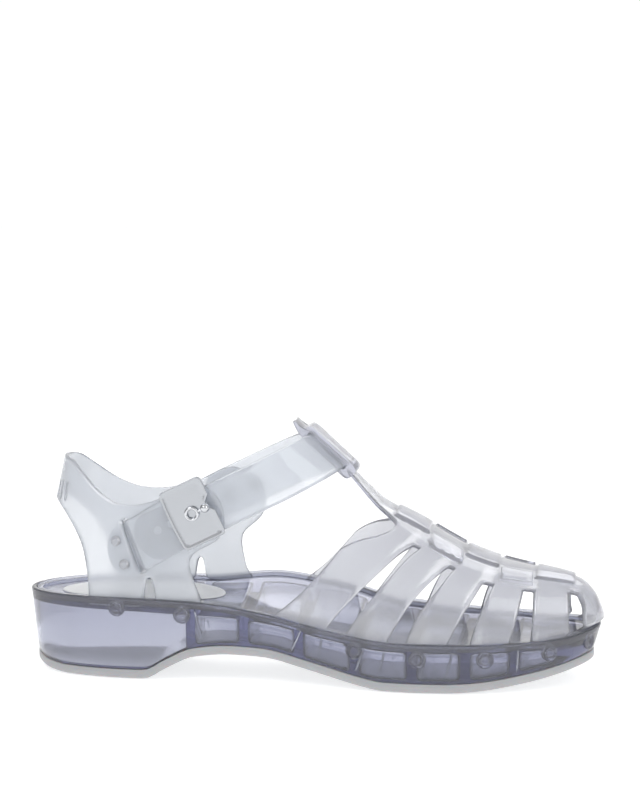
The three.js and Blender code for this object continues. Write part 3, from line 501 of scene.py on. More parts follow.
def inward_shift(surface, loop, scale):
    """How a loop's coordinates change for each millimetre that its points move into the piece."""
    small = 0.02 / scale
    u, v = loop[:, 0], loop[:, 1]
    du = (surface(u + small[0], v, 0.0) - surface(u - small[0], v, 0.0)) / (2 * small[0])
    dv = (surface(u, v + small[1], 0.0) - surface(u, v - small[1], 0.0)) / (2 * small[1])
    turn = np.roll(loop, -1, 0) - np.roll(loop, 1, 0)
    inward = np.cross(np.cross(du, dv), du * turn[:, :1] + dv * turn[:, 1:])
    inward /= np.linalg.norm(inward, axis=1, keepdims=True) + 1e-9
    a, b, c = (du * du).sum(1), (du * dv).sum(1), (dv * dv).sum(1)
    p, q = (du * inward).sum(1), (dv * inward).sum(1)
    det = a * c - b * b + 1e-9
    return np.stack([(c * p - b * q) / det, (a * q - b * p) / det], -1)


def slope_loops(outline, scale):
    """A raised outline and two more round it, for the slope down to the face."""
    outline = turned(outline, True)
    turn = (np.roll(outline, -1, 0) - np.roll(outline, 1, 0)) * scale
    outward = np.stack([turn[:, 1], -turn[:, 0]], -1)
    outward /= np.linalg.norm(outward, axis=1, keepdims=True)
    return [outline + outward * offset / scale for offset in (0, SLOPE / 2, SLOPE)]


def lifted(points, slopes, scale, rise):
    """How far points stand proud: all of the rise inside a raised outline, half of it on the slope."""
    lift = np.zeros(len(points))
    for slope in slopes:
        for outline, share in ((slope[1], 0.5), (slope[0], 1)):
            on_edge = distances(points, outline, scale) < 1e-3
            lift[inside(points, outline) | on_edge] = share * rise
    return lift


def filled(edges, slopes, grid, scale):
    """Triangles between all loops: their corners, and the numbers of the given points at each corner."""
    source = edges + [loop for slope in slopes for loop in slope]
    grid = grid[on_face(grid, edges)]
    grid = grid[distances(grid, np.vstack(source), scale) > GRID_CLEAR]
    lines, start = [], 0
    for loop in source:
        lines += [(start + i, start + (i + 1) % len(loop)) for i in range(len(loop))]
        start += len(loop)
    corners = [Vector(point) for point in np.vstack(source + [grid]) * scale]
    made = geometry.delaunay_2d_cdt(corners, lines, [], 0, 1e-6)
    found = np.array([tuple(corner) for corner in made[0]]) / scale
    triangles = np.array([tuple(face) for face in made[2]])
    return found, triangles[on_face(found[triangles].mean(1), edges)], made[3]


def wall_faces(triangles, rings, seams, count):
    """Both sides of a wall and the rounded edges between them; the inner side's points are count later."""
    faces = triangles.tolist() + (triangles[:, ::-1] + count).tolist()
    for ring, fixed in zip(rings, seams):
        size = len(ring[0])
        for i in range(size):
            j = (i + 1) % size
            if fixed[i] and fixed[j]:
                continue
            for near, far in zip(ring, ring[1:]):
                quad = [near[i], near[j], far[j], far[i]]
                faces += [quad, [corner + count for corner in quad[::-1]]]
            faces.append([ring[0][j], ring[0][i], ring[0][i] + count, ring[0][j] + count])
    return faces


def moulded(name, surface, loops, grid, scale, half, finish, raised=(), rise=0, seam=None, edge=0.75):
    """One wall with rounded edges. Loops are its outline, then its holes, on a two-way surface; grid is
    the points between; half is half its thickness; raised loops stand proud of the outer face."""
    radius = edge * half
    flat, deep, rings, seams = [], [], [], []
    total = 0
    for number, loop in enumerate(loops):
        loop = turned(loop, number == 0)
        fixed = seam(loop) if seam else np.zeros(len(loop), bool)
        shift = inward_shift(surface, loop, scale)
        shift[fixed] = 0
        rings.append([])
        for turn in EDGE_TURNS:
            flat.append(loop + shift * radius * (1 - math.cos(turn)))
            deep.append(np.where(fixed, half, half - radius * (1 - math.sin(turn))))
            rings[-1].append(total + np.arange(len(loop)))
            total += len(loop)
        seams.append(fixed)
    slopes = [slope_loops(outline, scale) for outline in raised]
    found, triangles, sources = filled(flat[len(EDGE_TURNS) - 1::len(EDGE_TURNS)], slopes, grid, scale)
    # Triangle corners on an outline or hole use its last ring, the rest are new points
    owner = np.concatenate([ring[-1] for ring in rings])
    index = np.full(len(found), -1)
    for number, items in enumerate(sources):
        owned = [item for item in items if item < len(owner)]
        if owned:
            index[number] = owner[owned[0]]
    fresh = np.nonzero(index < 0)[0]
    index[fresh] = total + np.arange(len(fresh))
    points = np.vstack(flat + [found[fresh]])
    depth = np.concatenate(deep + [np.full(len(fresh), half)])
    outer = surface(points[:, 0], points[:, 1], depth + lifted(points, slopes, scale, rise))
    inner = surface(points[:, 0], points[:, 1], -depth)
    faces = wall_faces(index[triangles], rings, seams, len(points))
    return new_piece(name, np.vstack([outer, inner]), faces, finish)


def grid_points(first, second):
    a, b = np.meshgrid(first, second, indexing="ij")
    return np.stack([a.ravel(), b.ravel()], -1)


def perimeter(inset, height):
    """One ring round the sole, from the heel along the outer side and back along the inner side."""
    steps = 220
    at = (1 - np.cos(angles(steps))) / 2
    side = np.where(np.arange(steps) < steps / 2, -1, 1)
    return np.stack([along(at, inset), side * half_width(at, side, inset), height(at, side)], -1)


def band(first, second, count):
    """Quads between two rings of points, each given by the number of its first point."""
    return [[first + k, first + (k + 1) % count, second + (k + 1) % count, second + k] for k in range(count)]


def ring_piece(name, rings, finish, capped=True, dish=0):
    """Stacked rings; capped across at both ends, or closed on themselves."""
    steps, columns = len(rings[0]), 16
    points = list(np.vstack(rings))
    faces = []
    for r in range(len(rings) - 1 if capped else len(rings)):
        faces += band(r * steps, (r + 1) % len(rings) * steps, steps)
    if capped:
        for ring, hollow, down in ((rings[0], 0, True), (rings[-1], dish, False)):
            start = len(points)
            half = steps // 2
            for i in range(half + 1):
                left, right = ring[i], ring[(steps - i) % steps]
                for j in range(columns + 1):
                    t = j / columns
                    sink = hollow * 4 * t * (1 - t) * math.sin(math.pi * i / half)
                    points.append(left + (right - left) * t - np.array([0, 0, sink]))
            corner = lambda i, j: start + i * (columns + 1) + j
            for i in range(half):
                for j in range(columns):
                    quad = [corner(i, j), corner(i + 1, j), corner(i + 1, j + 1), corner(i, j + 1)]
                    faces.append(quad[::-1] if down else quad)
    return new_piece(name, points, faces, finish)


def swept_rings(name, rings, finish, looped=False):
    """A solid from rings of the same count, looped on itself or capped at both ends."""
    count = len(rings[0])
    points = [point for ring in rings for point in ring]
    last = (len(rings) - 1) * count
    faces = []
    for start in range(0, last, count):
        faces += band(start, start + count, count)
    if looped:
        faces += band(last, 0, count)
    else:
        faces += [list(range(count))[::-1], list(range(last, last + count))]
    return new_piece(name, points, faces, finish)


# Finishes

def linear(code):
    """An sRGB hex colour as Blender's linear red, green, blue and alpha."""
    values = [int(code[i:i + 2], 16) / 255 for i in (1, 3, 5)]
    return tuple(v / 12.92 if v <= 0.04045 else ((v + 0.055) / 1.055) ** 2.4 for v in values) + (1.0,)


def add(tree, kind, inputs=None, **settings):
    """One node, with its settings, and its inputs given as values or as other nodes' outputs."""
    node = tree.nodes.new(kind)
    for key, value in settings.items():
        setattr(node, key, value)
    for key, value in (inputs or {}).items():
        if isinstance(value, bpy.types.NodeSocket):
            tree.links.new(value, node.inputs[key])
        else:
            node.inputs[key].default_value = value
    return node


def start_finish(name):
    finish = bpy.data.materials.new(name)
    finish.use_nodes = True
    tree = finish.node_tree
    tree.nodes.clear()
    return finish, tree, add(tree, "ShaderNodeOutputMaterial")


def noise(tree, size, detail=2.0, place=None, **inputs):
    """A pattern with features about this many millimetres wide, fixed to the piece."""
    if place is None:
        place = add(tree, "ShaderNodeTexCoord").outputs["Object"]
    given = {"Vector": place, "Scale": 1000 / size, "Detail": detail, **inputs}
    return add(tree, "ShaderNodeTexNoise", given).outputs["Fac"]


def spread(tree, value, to_low, to_high, from_low=0.0, from_high=1.0, **settings):
    """The value, mapped from one range to another."""
    given = {"Value": value, "From Min": from_low, "From Max": from_high,
             "To Min": to_low, "To Max": to_high}
    return add(tree, "ShaderNodeMapRange", given, **settings).outputs["Result"]


def uneven(tree, height, strength, size):
    """The surface's normal with relief this many millimetres high."""
    given = {"Height": height, "Strength": strength, "Distance": size / 1000}
    return add(tree, "ShaderNodeBump", given).outputs["Normal"]


def principled(tree, output, inputs):
    shader = add(tree, "ShaderNodeBsdfPrincipled", inputs)
    tree.links.new(shader.outputs["BSDF"], output.inputs["Surface"])


def moulded_pvc(name, tint, absorb, density, rough, wave_mm, wave_height, through):
    """Clear plasticised PVC, injection moulded: glossy, softly uneven, faintly violet where it is thick."""
    finish, tree, output = start_finish(name)
    wave = noise(tree, wave_mm, 1.5, Roughness=0.4)
    principled(tree, output, {
        "Base Color": linear(tint), "IOR": 1.5, "Transmission Weight": through,
        "Roughness": spread(tree, noise(tree, 9), rough * 0.8, rough * 1.25, 0.35, 0.65),
        "Normal": uneven(tree, wave, 1.0, wave_height)})
    volume = add(tree, "ShaderNodeVolumeAbsorption", {"Color": linear(absorb), "Density": density})
    tree.links.new(volume.outputs["Volume"], output.inputs["Volume"])
    return finish


def satin_nickel():
    """Nickel-plated zinc casting, tumbled to satin: broad soft reflections with faint brushed streaks."""
    finish, tree, output = start_finish("satin_nickel_plate")
    place = add(tree, "ShaderNodeTexCoord").outputs["Object"]
    grain = add(tree, "ShaderNodeMapping", {"Vector": place, "Scale": (1, 1, 14)}).outputs["Vector"]
    streak = noise(tree, 4, 4.0, grain)
    principled(tree, output, {
        "Base Color": linear("#B9BCC1"), "Metallic": 1.0, "Roughness": spread(tree, streak, 0.16, 0.3),
        "Normal": uneven(tree, streak, 0.25, 0.06)})
    return finish


def polished_nickel():
    """The prong and its ball, polished: small sharp highlights."""
    finish, tree, output = start_finish("polished_nickel")
    principled(tree, output, {
        "Base Color": linear("#D6D8DC"), "Metallic": 1.0,
        "Roughness": spread(tree, noise(tree, 1.5), 0.08, 0.18)})
    return finish


def pale_rubber():
    """Translucent milky rubber sheet, moulded matt: soft light in the thin edge and a fine grain."""
    finish, tree, output = start_finish("milky_rubber")
    tone = add(tree, "ShaderNodeMix", {"Factor": noise(tree, 14, 3.0), "A": linear("#AEB0B3"),
                                       "B": linear("#B8BABD")}, data_type="RGBA")
    principled(tree, output, {
        "Base Color": tone.outputs["Result"], "Roughness": 0.45, "Subsurface Weight": 0.3,
        "Subsurface Scale": 0.004, "Normal": uneven(tree, noise(tree, 0.9, 3.0), 0.5, 0.08)})
    return finish


def white_badge():
    """Glossy white printed vinyl oval, left plain: a flat white with a slight orange peel."""
    finish, tree, output = start_finish("white_vinyl_badge")
    principled(tree, output, {
        "Base Color": linear("#F1F2F4"), "Roughness": 0.35,
        "Normal": uneven(tree, noise(tree, 1.2), 0.3, 0.05)})
    return finish


# Clear plastic: tint, tint in depth, density, roughness, waves' size and height, share of light through
upper_pvc = moulded_pvc("clear_pvc_upper", "#F6F7FA", "#9CA2CC", 42, 0.12, 11, 0.2, 0.76)
counter_pvc = moulded_pvc("clear_pvc_counter", "#F3F6FA", "#9CA4C8", 30, 0.16, 11, 0.2, 0.66)
strap_pvc = moulded_pvc("clear_pvc_strap", "#F5F8FC", "#9CA4C8", 26, 0.12, 11, 0.2, 0.74)
sole_pvc = moulded_pvc("clear_pvc_sole", "#E1E3EB", "#8A8FC1", 60, 0.08, 16, 0.1, 0.9)
plug_pvc = moulded_pvc("clear_pvc_plug", "#E9EAF1", "#9AA0C6", 60, 0.06, 5, 0.1, 0.92)
nickel = satin_nickel()
bright = polished_nickel()
rubber = pale_rubber()
badge_white = white_badge()


# Outsole: a thin sheet under the whole shoe, with a softly rounded lower edge

def outsole_top(at):
    return bottom_height(at) + OUTSOLE


def round_over(radius, turns):
    """How far the rings of a rounded edge lie from its corner, in each of two directions."""
    return [(radius * (1 - math.sin(turn)), radius * (1 - math.cos(turn))) for turn in np.radians(turns)]


def make_outsole():
    rings = [perimeter(SOLE_TAPER + OUTSOLE_ROUND, lambda at, side: bottom_height(at))]
    for inset, rise in round_over(OUTSOLE_ROUND, (20, 45, 70, 90)):
        rings.append(perimeter(SOLE_TAPER + inset, lambda at, side, rise=rise: bottom_height(at) + rise))
    rings.append(perimeter(SOLE_TAPER, lambda at, side: outsole_top(at) - JOINT_ROUND))
    rings.append(perimeter(SOLE_TAPER + JOINT_ROUND, lambda at, side: outsole_top(at)))
    return seat(ring_piece("outsole_sheet", rings, rubber), "outsole_rubber", "outsole")


# Sole body: side wall, rim, channel and footbed in one, with hollow cells between its cross ribs

def sole_bottom(at):
    return outsole_top(at) + FIT_GAP


def wall_height(at, side, share):
    """Height on the sole's side wall, at a share of the way from its bottom to its rim."""
    return sole_bottom(at) * (1 - share) + (rim_height(at, side) - RIM_ROUND) * share


def cell_piece(name, start, end):
    """A hollow cell: straight-sided, with its edges rounded, and its faces turned inwards."""
    share = np.linspace(0, 1, max(4, int((end - start) * 160)))
    rows = start + (end - start) * share if start > 0 else end * share ** 2
    columns = np.linspace(0, 1, 15)
    points, faces = [], []
    for level in range(2):
        for at in rows:
            inset = CELL_INSET + CELL_FRONT_INSET * smooth_step((at - RIBS[0]) / 0.08 + 1)
            outer = half_width(at, np.array(-1), inset)
            inner = half_width(at, np.array(1), inset)
            for across in columns:
                rim = rim_height(at, -1) * (1 - across) + rim_height(at, 1) * across
                z = rim - cell_roof(at) if level == 0 else sole_bottom(at) + CELL_FLOOR
                points.append([along(at, inset), -outer + (outer + inner) * across, z])
    layer = len(rows) * len(columns)
    corner = lambda i, j, level: level * layer + i * len(columns) + j
    last_row, last = len(rows) - 1, len(columns) - 1
    for i in range(last_row):
        for j in range(last):
            quad = [(i, j), (i + 1, j), (i + 1, j + 1), (i, j + 1)]
            faces.append([corner(*place, 0) for place in quad])
            faces.append([corner(*place, 1) for place in quad[:1] + quad[:0:-1]])
        for j in (0, last):
            faces.append([corner(i, j, 0), corner(i + 1, j, 0), corner(i + 1, j, 1), corner(i, j, 1)])
    for j in range(last):
        for i in ((0, last_row) if start > 0 else (last_row,)):
            faces.append([corner(i, j, 0), corner(i, j + 1, 0), corner(i, j + 1, 1), corner(i, j, 1)])
    cell = round_edges(new_piece(name, points, faces, sole_pvc), width=1.6, angle=50, segments=4)
    cell.data.flip_normals()
    return cell


def leg_line(name, side, top, low):
    """A fine raised line where a band's edge runs on down the sole's side, from the rim to the bottom."""
    rings = []
    count = 15
    for number, share in enumerate(np.linspace(LEG_TOP, LEG_LOW, count)):
        inset = SOLE_TAPER * (1 - share)
        place = (low + (top - low) * share - inset) / (SOLE_LENGTH - 2 * inset)
        level = float(wall_height(place, side, share))
        ends = []
        for at in (place - 0.004, place + 0.004):
            width = float(half_width(at, np.array(side), inset))
            ends.append(np.array([float(along(at, inset)), side * width, level]))
        tangent = (ends[1] - ends[0]) / np.linalg.norm(ends[1] - ends[0])
        outward = side * np.array([-tangent[1], tangent[0], 0])
        size = LEG_LINE * math.sin(math.pi * (number + 1) / (count + 1)) ** 0.4
        rings.append([])
        for angle in angles(10):
            offset = tangent * math.cos(angle) + outward * (0.4 + math.sin(angle))
            rings[-1].append((ends[0] + ends[1]) / 2 + size * offset)
    return swept_rings(name, rings, sole_pvc)


def channel_floor(at, side):
    return rim_height(at, side) - LASTING_DEPTH - LASTING_LIP - FIT_GAP


def footbed_edge(at, side):
    return rim_height(at, side) - FOOTBED_DROP


def sole_rings():
    """From the bottom up the side wall, over the rim, down into the channel and up to the footbed."""
    rings = [perimeter(SOLE_TAPER + JOINT_ROUND, lambda at, side: sole_bottom(at)),
             perimeter(SOLE_TAPER, lambda at, side: sole_bottom(at) + JOINT_ROUND)]
    for share in (0.2, 0.4, 0.6, 0.8, 1):
        rings.append(perimeter(SOLE_TAPER * (1 - share), lambda at, side, s=share: wall_height(at, side, s)))
    for drop, inset in round_over(RIM_ROUND, (25, 50, 75, 90)):
        rings.append(perimeter(inset, lambda at, side, drop=drop: rim_height(at, side) - drop))
    rings.append(perimeter(RIM_WALL - RIM_INNER_ROUND, rim_height))
    rings.append(perimeter(RIM_WALL, lambda at, side: rim_height(at, side) - RIM_INNER_ROUND))
    rings.append(perimeter(RIM_WALL, channel_floor))
    rings.append(perimeter(FOOTBED_INSET, channel_floor))
    rings.append(perimeter(FOOTBED_INSET, lambda at, side: footbed_edge(at, side) - BED_ROUND))
    rings.append(perimeter(FOOTBED_INSET + BED_ROUND, footbed_edge))
    return rings


def make_sole():
    body = ring_piece("sole_body", sole_rings(), sole_pvc, dish=FOOTBED_DISH)
    half = RIB_THICK / 2 / SOLE_LENGTH
    cells = [cell_piece("cell_0", 0, HEEL_CELL_END)]
    start = HEEL_CELL_END + 2 * half
    for number, rib in enumerate(RIBS):
        cells.append(cell_piece(f"cell_{number + 1}", start, rib - half))
        start = rib + half
    lines = [leg_line(f"leg_line_{number}_{side}", side, top, low)
             for side in (-1, 1) for number, (top, low) in enumerate(LEG_LINES)]
    return seat(joined([body, *cells, *lines]), "clear_sole", "sole")


# Cage over the toes, with its openings cut right through and its woven strips raised

STRETCH = 0.6
STRETCH_POWER = 1.6


def share_of(u):
    return 1 - STRETCH * np.maximum(1 - u, 0) ** STRETCH_POWER


def u_of(share):
    return 1 - (np.maximum(1 - share, 0) / STRETCH) ** (1 / STRETCH_POWER)


def cage_surface(u, across, out):
    return vamp(share_of(u), across, WALL / 2 - out)


CAGE_SCALE = np.array([180.0, 60.0])


def cage_outline():
    across = np.linspace(-1, 1, 241)
    start = throat_at(np.abs(across))
    throat = np.stack([u_of(start + side_shift(start, across)), across], -1)
    inner_foot = np.stack([np.linspace(throat[-1][0], 1, 60), np.full(60, 1.0)], -1)[1:]
    tip = np.stack([np.ones(40), np.linspace(1, -1, 40)], -1)[1:]
    outer_foot = np.stack([np.linspace(1, throat[0][0], 60), np.full(60, -1.0)], -1)[1:-1]
    loop = resample(np.vstack([throat, inner_foot, tip, outer_foot]), 1.0, CAGE_SCALE)
    return soften(loop, 2, on_tip(loop))


def on_tip(loop):
    return loop[:, 0] > 1 - 1e-6


def opening_outline(rows, side):
    rear = curve(rows, 1)
    front = curve(rows, 2)
    across = np.linspace(rows[0][0], rows[-1][0], 40)
    back = np.stack([rear(across), side * across], -1)
    ahead = np.stack([front(across), side * across], -1)[::-1]
    loop = np.vstack([back, ahead])
    loop[:, 0] = u_of(loop[:, 0] + side_shift(loop[:, 0], loop[:, 1]))
    return soften(resample(loop, 0.6, CAGE_SCALE), 1)


def weave_outline(first, last, inner, outer):
    rectangle = [(first, inner), (last, inner), (last, outer), (first, outer)]
    loop = np.array([(u_of(s), v) for s, v in rectangle])
    return soften(resample(loop, 0.7, CAGE_SCALE), 1)


def make_cage():
    loops = [cage_outline()]
    for rows in OPENINGS:
        loops += [opening_outline(rows, -1), opening_outline(rows, 1)]
    raised = []
    for first, last, inner, outer in WEAVE:
        if inner == 0:
            raised.append(weave_outline(first, last, -outer, outer))
        else:
            raised += [weave_outline(first, last, -outer, -inner), weave_outline(first, last, inner, outer)]
    grid = grid_points(np.linspace(0.0, 0.995, 150), np.linspace(-0.99, 0.99, 96))
    return moulded("cage", cage_surface, loops, grid, CAGE_SCALE, WALL / 2, upper_pvc,
                   raised=raised, rise=WEAVE_RISE, seam=on_tip)


# Heel counter with its two wings

REACH = 0.42


def counter_surface(w, height, out):
    return counter(REACH * w * np.abs(w), height, WALL / 2 - out)


COUNTER_SCALE = np.array([110.0, 1.0])


def w_of(place):
    return np.sign(place) * np.sqrt(np.abs(place) / REACH)


def spline(points, count):
    """Catmull-Rom curve through points."""
    points = np.asarray(points, float)
    result = []
    for t in np.linspace(0, len(points) - 1, count + 1):
        i = min(int(t), len(points) - 2)
        f = t - i
        p = [points[min(max(i + k, 0), len(points) - 1)] for k in (-1, 0, 1, 2)]
        start, end = (p[2] - p[0]) / 2, (p[3] - p[1]) / 2
        cubic = 2 * p[1] - 2 * p[2] + start + end
        square = -3 * p[1] + 3 * p[2] - 2 * start - end
        result.append(cubic * f ** 3 + square * f ** 2 + start * f + p[1])
    return result


def wall_place(x, z, side):
    """Where on the leaning heel wall a point of the side view lies."""
    inset = UPPER_INSET + WALL / 2
    at = x / SOLE_LENGTH
    for _ in range(6):
        above = max(z - float(rim_height(at, side)) - LASTING_LIP, 0)
        at = max((x - COUNTER_LEAN * above - inset) / (SOLE_LENGTH - 2 * inset), 0)
    return w_of(side * at)


def wing_side(side):
    """The counter's edge on one side: from the top of the back down, along the foot and up the wing."""
    column = 1 if side < 0 else 2
    floor = WING_FLOOR[column - 1]
    rear, slot, front = [spline([(row[column], row[0]) for row in rows], count)
                         for rows, count in ((WING_REAR, 60), (WING_SLOT, 30), (WING_FRONT, 200))]
    points = [*rear, (rear[-1][0], floor), (slot[0][0], floor), *slot, (slot[-1][0], floor),
              (front[0][0], floor), *front]
    loop = []
    for place, rise in points:
        height = HEEL_HEIGHT + rise * COUNTER_RISE
        loop.append((wall_place(place * SOLE_LENGTH, height, side), height))
    return loop


def slit_outline():
    tilt = math.radians(SLIT_TILT)
    loop = []
    for a, b in ((-1, -1), (1, -1), (1, 1), (-1, 1)):
        wide, long = a * SLIT_HALF_WIDE, b * SLIT_HALF_LONG
        x = SLIT_X + wide * math.cos(tilt) - long * math.sin(tilt)
        z = SLIT_Z + wide * math.sin(tilt) + long * math.cos(tilt)
        loop.append((wall_place(x, z, -1), z))
    return soften(resample(np.array(loop), 0.7, COUNTER_SCALE), 2)


def groove_outline(x_top, z_top, x_low, z_low):
    """A short upright groove at the counter's back, on the outer side."""
    top, low = wall_place(x_top, z_top, -1), wall_place(x_low, z_low, -1)
    half = GRIP_HALF_WIDE / COUNTER_SCALE[0]
    loop = np.array([(top - half, z_top), (top + half, z_top), (low + half, z_low), (low - half, z_low)])
    return soften(resample(loop, 0.6, COUNTER_SCALE), 1)


def make_counter():
    outer = wing_side(-1)
    inner = wing_side(1)[::-1]
    loop = soften(resample(np.array([*outer, *inner], float), 1.0, COUNTER_SCALE), 2)
    grooves = [groove_outline(*row) for row in GRIP_LINES]
    grid = grid_points(np.linspace(-1, 1, 150), np.linspace(30, 94, 46))
    return moulded("counter", counter_surface, [loop, slit_outline()], grid, COUNTER_SCALE, WALL / 2,
                   counter_pvc, raised=grooves, rise=-GRIP_DEPTH)


# Lasting band: the ring round the footbed that the cage and the counter grow from

def make_lasting_band():
    soft, width, depth = LASTING_ROUND, LASTING_WIDTH, LASTING_DEPTH
    corners = [(0, depth - soft), (0, soft), (0.3 * soft, 0.3 * soft), (soft, 0), (width - soft, 0),
               (width - 0.3 * soft, 0.3 * soft), (width, soft), (width, depth - soft),
               (width - soft, depth), (soft, depth)]
    rings = []
    for inset, drop in corners:
        top = lambda at, side, drop=drop: rim_height(at, side) - LASTING_LIP - drop
        rings.append(perimeter(CHANNEL + inset, top))
    return ring_piece("lasting_band", rings, sole_pvc, capped=False)


# Keeper loop at the top of the bar

def make_keeper():
    """A loop swept round the strap where it crosses the bar, with a small fin behind its upper edge."""
    half_turn = math.asin(KEEPER_WIDTH / 2 / STRAP_MIDDLE) * STRAP_TURN
    places = STRAP_ARC + np.linspace(-half_turn, half_turn, 13)
    clear, skin = STRAP_WIDTH / 2 + 2 * FIT_GAP, STRAP_THICK / 2 + FIT_GAP
    low_edge, high_edge, face = -clear - KEEPER_FOOT, clear + KEEPER_WALL, skin + KEEPER_WALL
    fin_end = high_edge + FIN_LENGTH
    outer = np.array([(low_edge, -face), (high_edge, -face), (fin_end, FIN_RISE - face),
                      (fin_end, FIN_RISE + FIN_TIP - face), (high_edge, FIN_ROOT - face),
                      (high_edge, face), (low_edge, face)])
    slot = np.array([(-clear, -skin), (clear, -skin), (clear, skin), (-clear, skin)])
    count = 72
    profile = np.vstack([soften(resample(outer, count=count), 5), soften(resample(slot, count=count), 1)])
    points, faces = [], []
    for place in places:
        for across, depth in profile:
            points.append(strap(np.array(place), np.array(across), np.array(depth)))
    row = 2 * count
    last = (len(places) - 1) * row
    for start in range(0, last, row):
        faces += band(start, start + row, count) + band(start + count, start + row + count, count)
    for start in (0, last):
        faces += band(start, start + count, count)
    keeper = new_piece("keeper", points, faces, upper_pvc)
    return round_edges(keeper, width=0.5, angle=60, segments=3)


# Straps

def round_hole(place):
    turn = angles(20)
    return np.stack([place + HOLE_RADIUS * np.cos(turn), HOLE_UP + HOLE_RADIUS * np.sin(turn)], -1)


def make_ankle_strap():
    half = STRAP_WIDTH / 2
    last = 2 * STRAP_ARC + 4
    angle = np.linspace(math.pi / 2, 3 * math.pi / 2, 40)
    ahead, up = [np.sign(wave) * np.abs(wave) ** STRAP_SQUARENESS for wave in (np.cos(angle), np.sin(angle))]
    tip = STRAP_TIP * half
    left = np.stack([STRAP_END + tip + tip * ahead, half * up], -1)
    right = np.stack([last - half - half * np.cos(angle), -half * np.sin(angle)], -1)
    loops = [resample(np.vstack([left, right])), *map(round_hole, HOLES)]
    grid = grid_points(np.arange(STRAP_END, last, 1.5), np.arange(-half, half, 1.5))
    piece = moulded("ankle_strap_band", strap, loops, grid, FLAT, STRAP_THICK / 2, strap_pvc)
    return seat(piece, "clear_upper", "ankle_strap")


def make_buckle_strap():
    angle = np.linspace(math.pi / 2, 3 * math.pi / 2, 40)
    lobe = np.stack([LOBE_START + LOBE_LENGTH * np.cos(angle), LOBE_HALF * np.sin(angle)], -1)
    end = BUCKLE_RUN + 6
    loop = soften(resample(np.vstack([lobe, [(end, -LOBE_HALF), (end, LOBE_HALF)]]), 0.9), 1)
    grid = grid_points(np.arange(-14, end, 1.3), np.arange(-LOBE_HALF, LOBE_HALF, 1.3))
    piece = moulded("buckle_strap_band", buckle_strap, [loop], grid, FLAT, STRAP_THICK / 2, strap_pvc)
    return seat(piece, "clear_upper", "buckle_strap")


# Buckle: a plate with a raised border, and a ring with a ball-headed prong

def on_buckle(ahead, up, out):
    """A point by its distances from the plate's middle: along the strap, across it and outwards."""
    tilt = math.radians(STRAP_TILT)
    return [STRAP_X + ahead * math.cos(tilt) - up * math.sin(tilt), -PLATE_FACE - out,
            BUCKLE_Z + ahead * math.sin(tilt) + up * math.cos(tilt)]


PIN_LIFT = PLATE_THICK + FIT_GAP
PIN_END = PLATE_WIDTH / 2 - PIN_BALL - PLATE_NOTCH / 2


def ring_of_pin():
    rings = []
    for turn in angles(48):
        rings.append([])
        for angle in angles(16):
            reach = PIN_RING - PIN_RADIUS + PIN_RADIUS * math.cos(angle)
            lift = PIN_LIFT + PIN_RADIUS + PIN_RADIUS * math.sin(angle)
            rings[-1].append(on_buckle(reach * math.cos(turn), reach * math.sin(turn), lift))
    return swept_rings("buckle_prong", rings, bright, looped=True)


def round_bar(name, profile, lift, count):
    """A round solid along the strap; its profile gives places along the strap and radii."""
    rings = []
    for place, radius in profile:
        rings.append([on_buckle(place, radius * math.cos(angle), lift + radius * math.sin(angle))
                      for angle in angles(count)])
    return swept_rings(name, rings, bright)


def bar_of_pin():
    places = np.linspace(PIN_RING - PIN_RADIUS, PIN_END, 6)
    return round_bar("prong_bar", [(place, 0.8 * PIN_RADIUS) for place in places], PIN_LIFT + PIN_RADIUS, 24)


def ball_of_pin():
    profile = []
    for ahead in -np.cos(np.linspace(0, math.pi, 21)):
        radius = PIN_BALL * math.sqrt(max(1 - ahead ** 2, 0.0004))
        profile.append((PIN_END + PIN_BALL * ahead, radius))
    return round_bar("prong_ball", profile, PIN_LIFT + PIN_BALL, 32)


def plate_surface(ahead, up, out):
    return np.stack(on_buckle(ahead, up, out + PLATE_THICK / 2 + 0 * ahead), -1)


def plate_outline():
    """Round corners, a slightly bowed rear edge and a stepped notch in the front edge for the prong."""
    w, h, r, notch = PLATE_WIDTH / 2, PLATE_HEIGHT / 2, PLATE_CORNER, PLATE_NOTCH
    corner = lambda x, z, start: [(x + r * math.cos(turn), z + r * math.sin(turn))
                                  for turn in np.radians(range(start, start + 91, 15))]
    bow = [(-w - r / 4 * (1 - z * z), -z * (h - r)) for z in np.linspace(-0.95, 0.95, 21)]
    loop = [*corner(w - r, r - h, -90), (w, -notch), (w - notch, 0), (w - notch, notch), (w, 2 * notch),
            *corner(w - r, h - r, 0), *corner(r - w, h - r, 90), *bow, *corner(r - w, r - h, 180)]
    return resample(np.array(loop), 0.5)


def make_plate():
    loop = plate_outline()
    turn = np.roll(loop, -1, 0) - np.roll(loop, 1, 0)
    turn /= np.linalg.norm(turn, axis=1, keepdims=True)
    field = loop + PLATE_BORDER * np.stack([-turn[:, 1], turn[:, 0]], -1)
    field = soften(resample(field, 0.6), 3)
    grid = grid_points(np.arange(-10, 10, 1.2), np.arange(-14, 14, 1.2))
    piece = moulded("buckle_plate_satin", plate_surface, [loop], grid, FLAT, PLATE_THICK / 2, nickel,
                    raised=[field], rise=-PLATE_SINK, edge=0.4)
    return seat(piece, "buckle_metal", "buckle_plate")


def make_buckle():
    make_plate()
    seat(joined([ring_of_pin(), bar_of_pin(), ball_of_pin()]), "buckle_metal", "buckle_pin")


# Badge, plugs, studs and pins

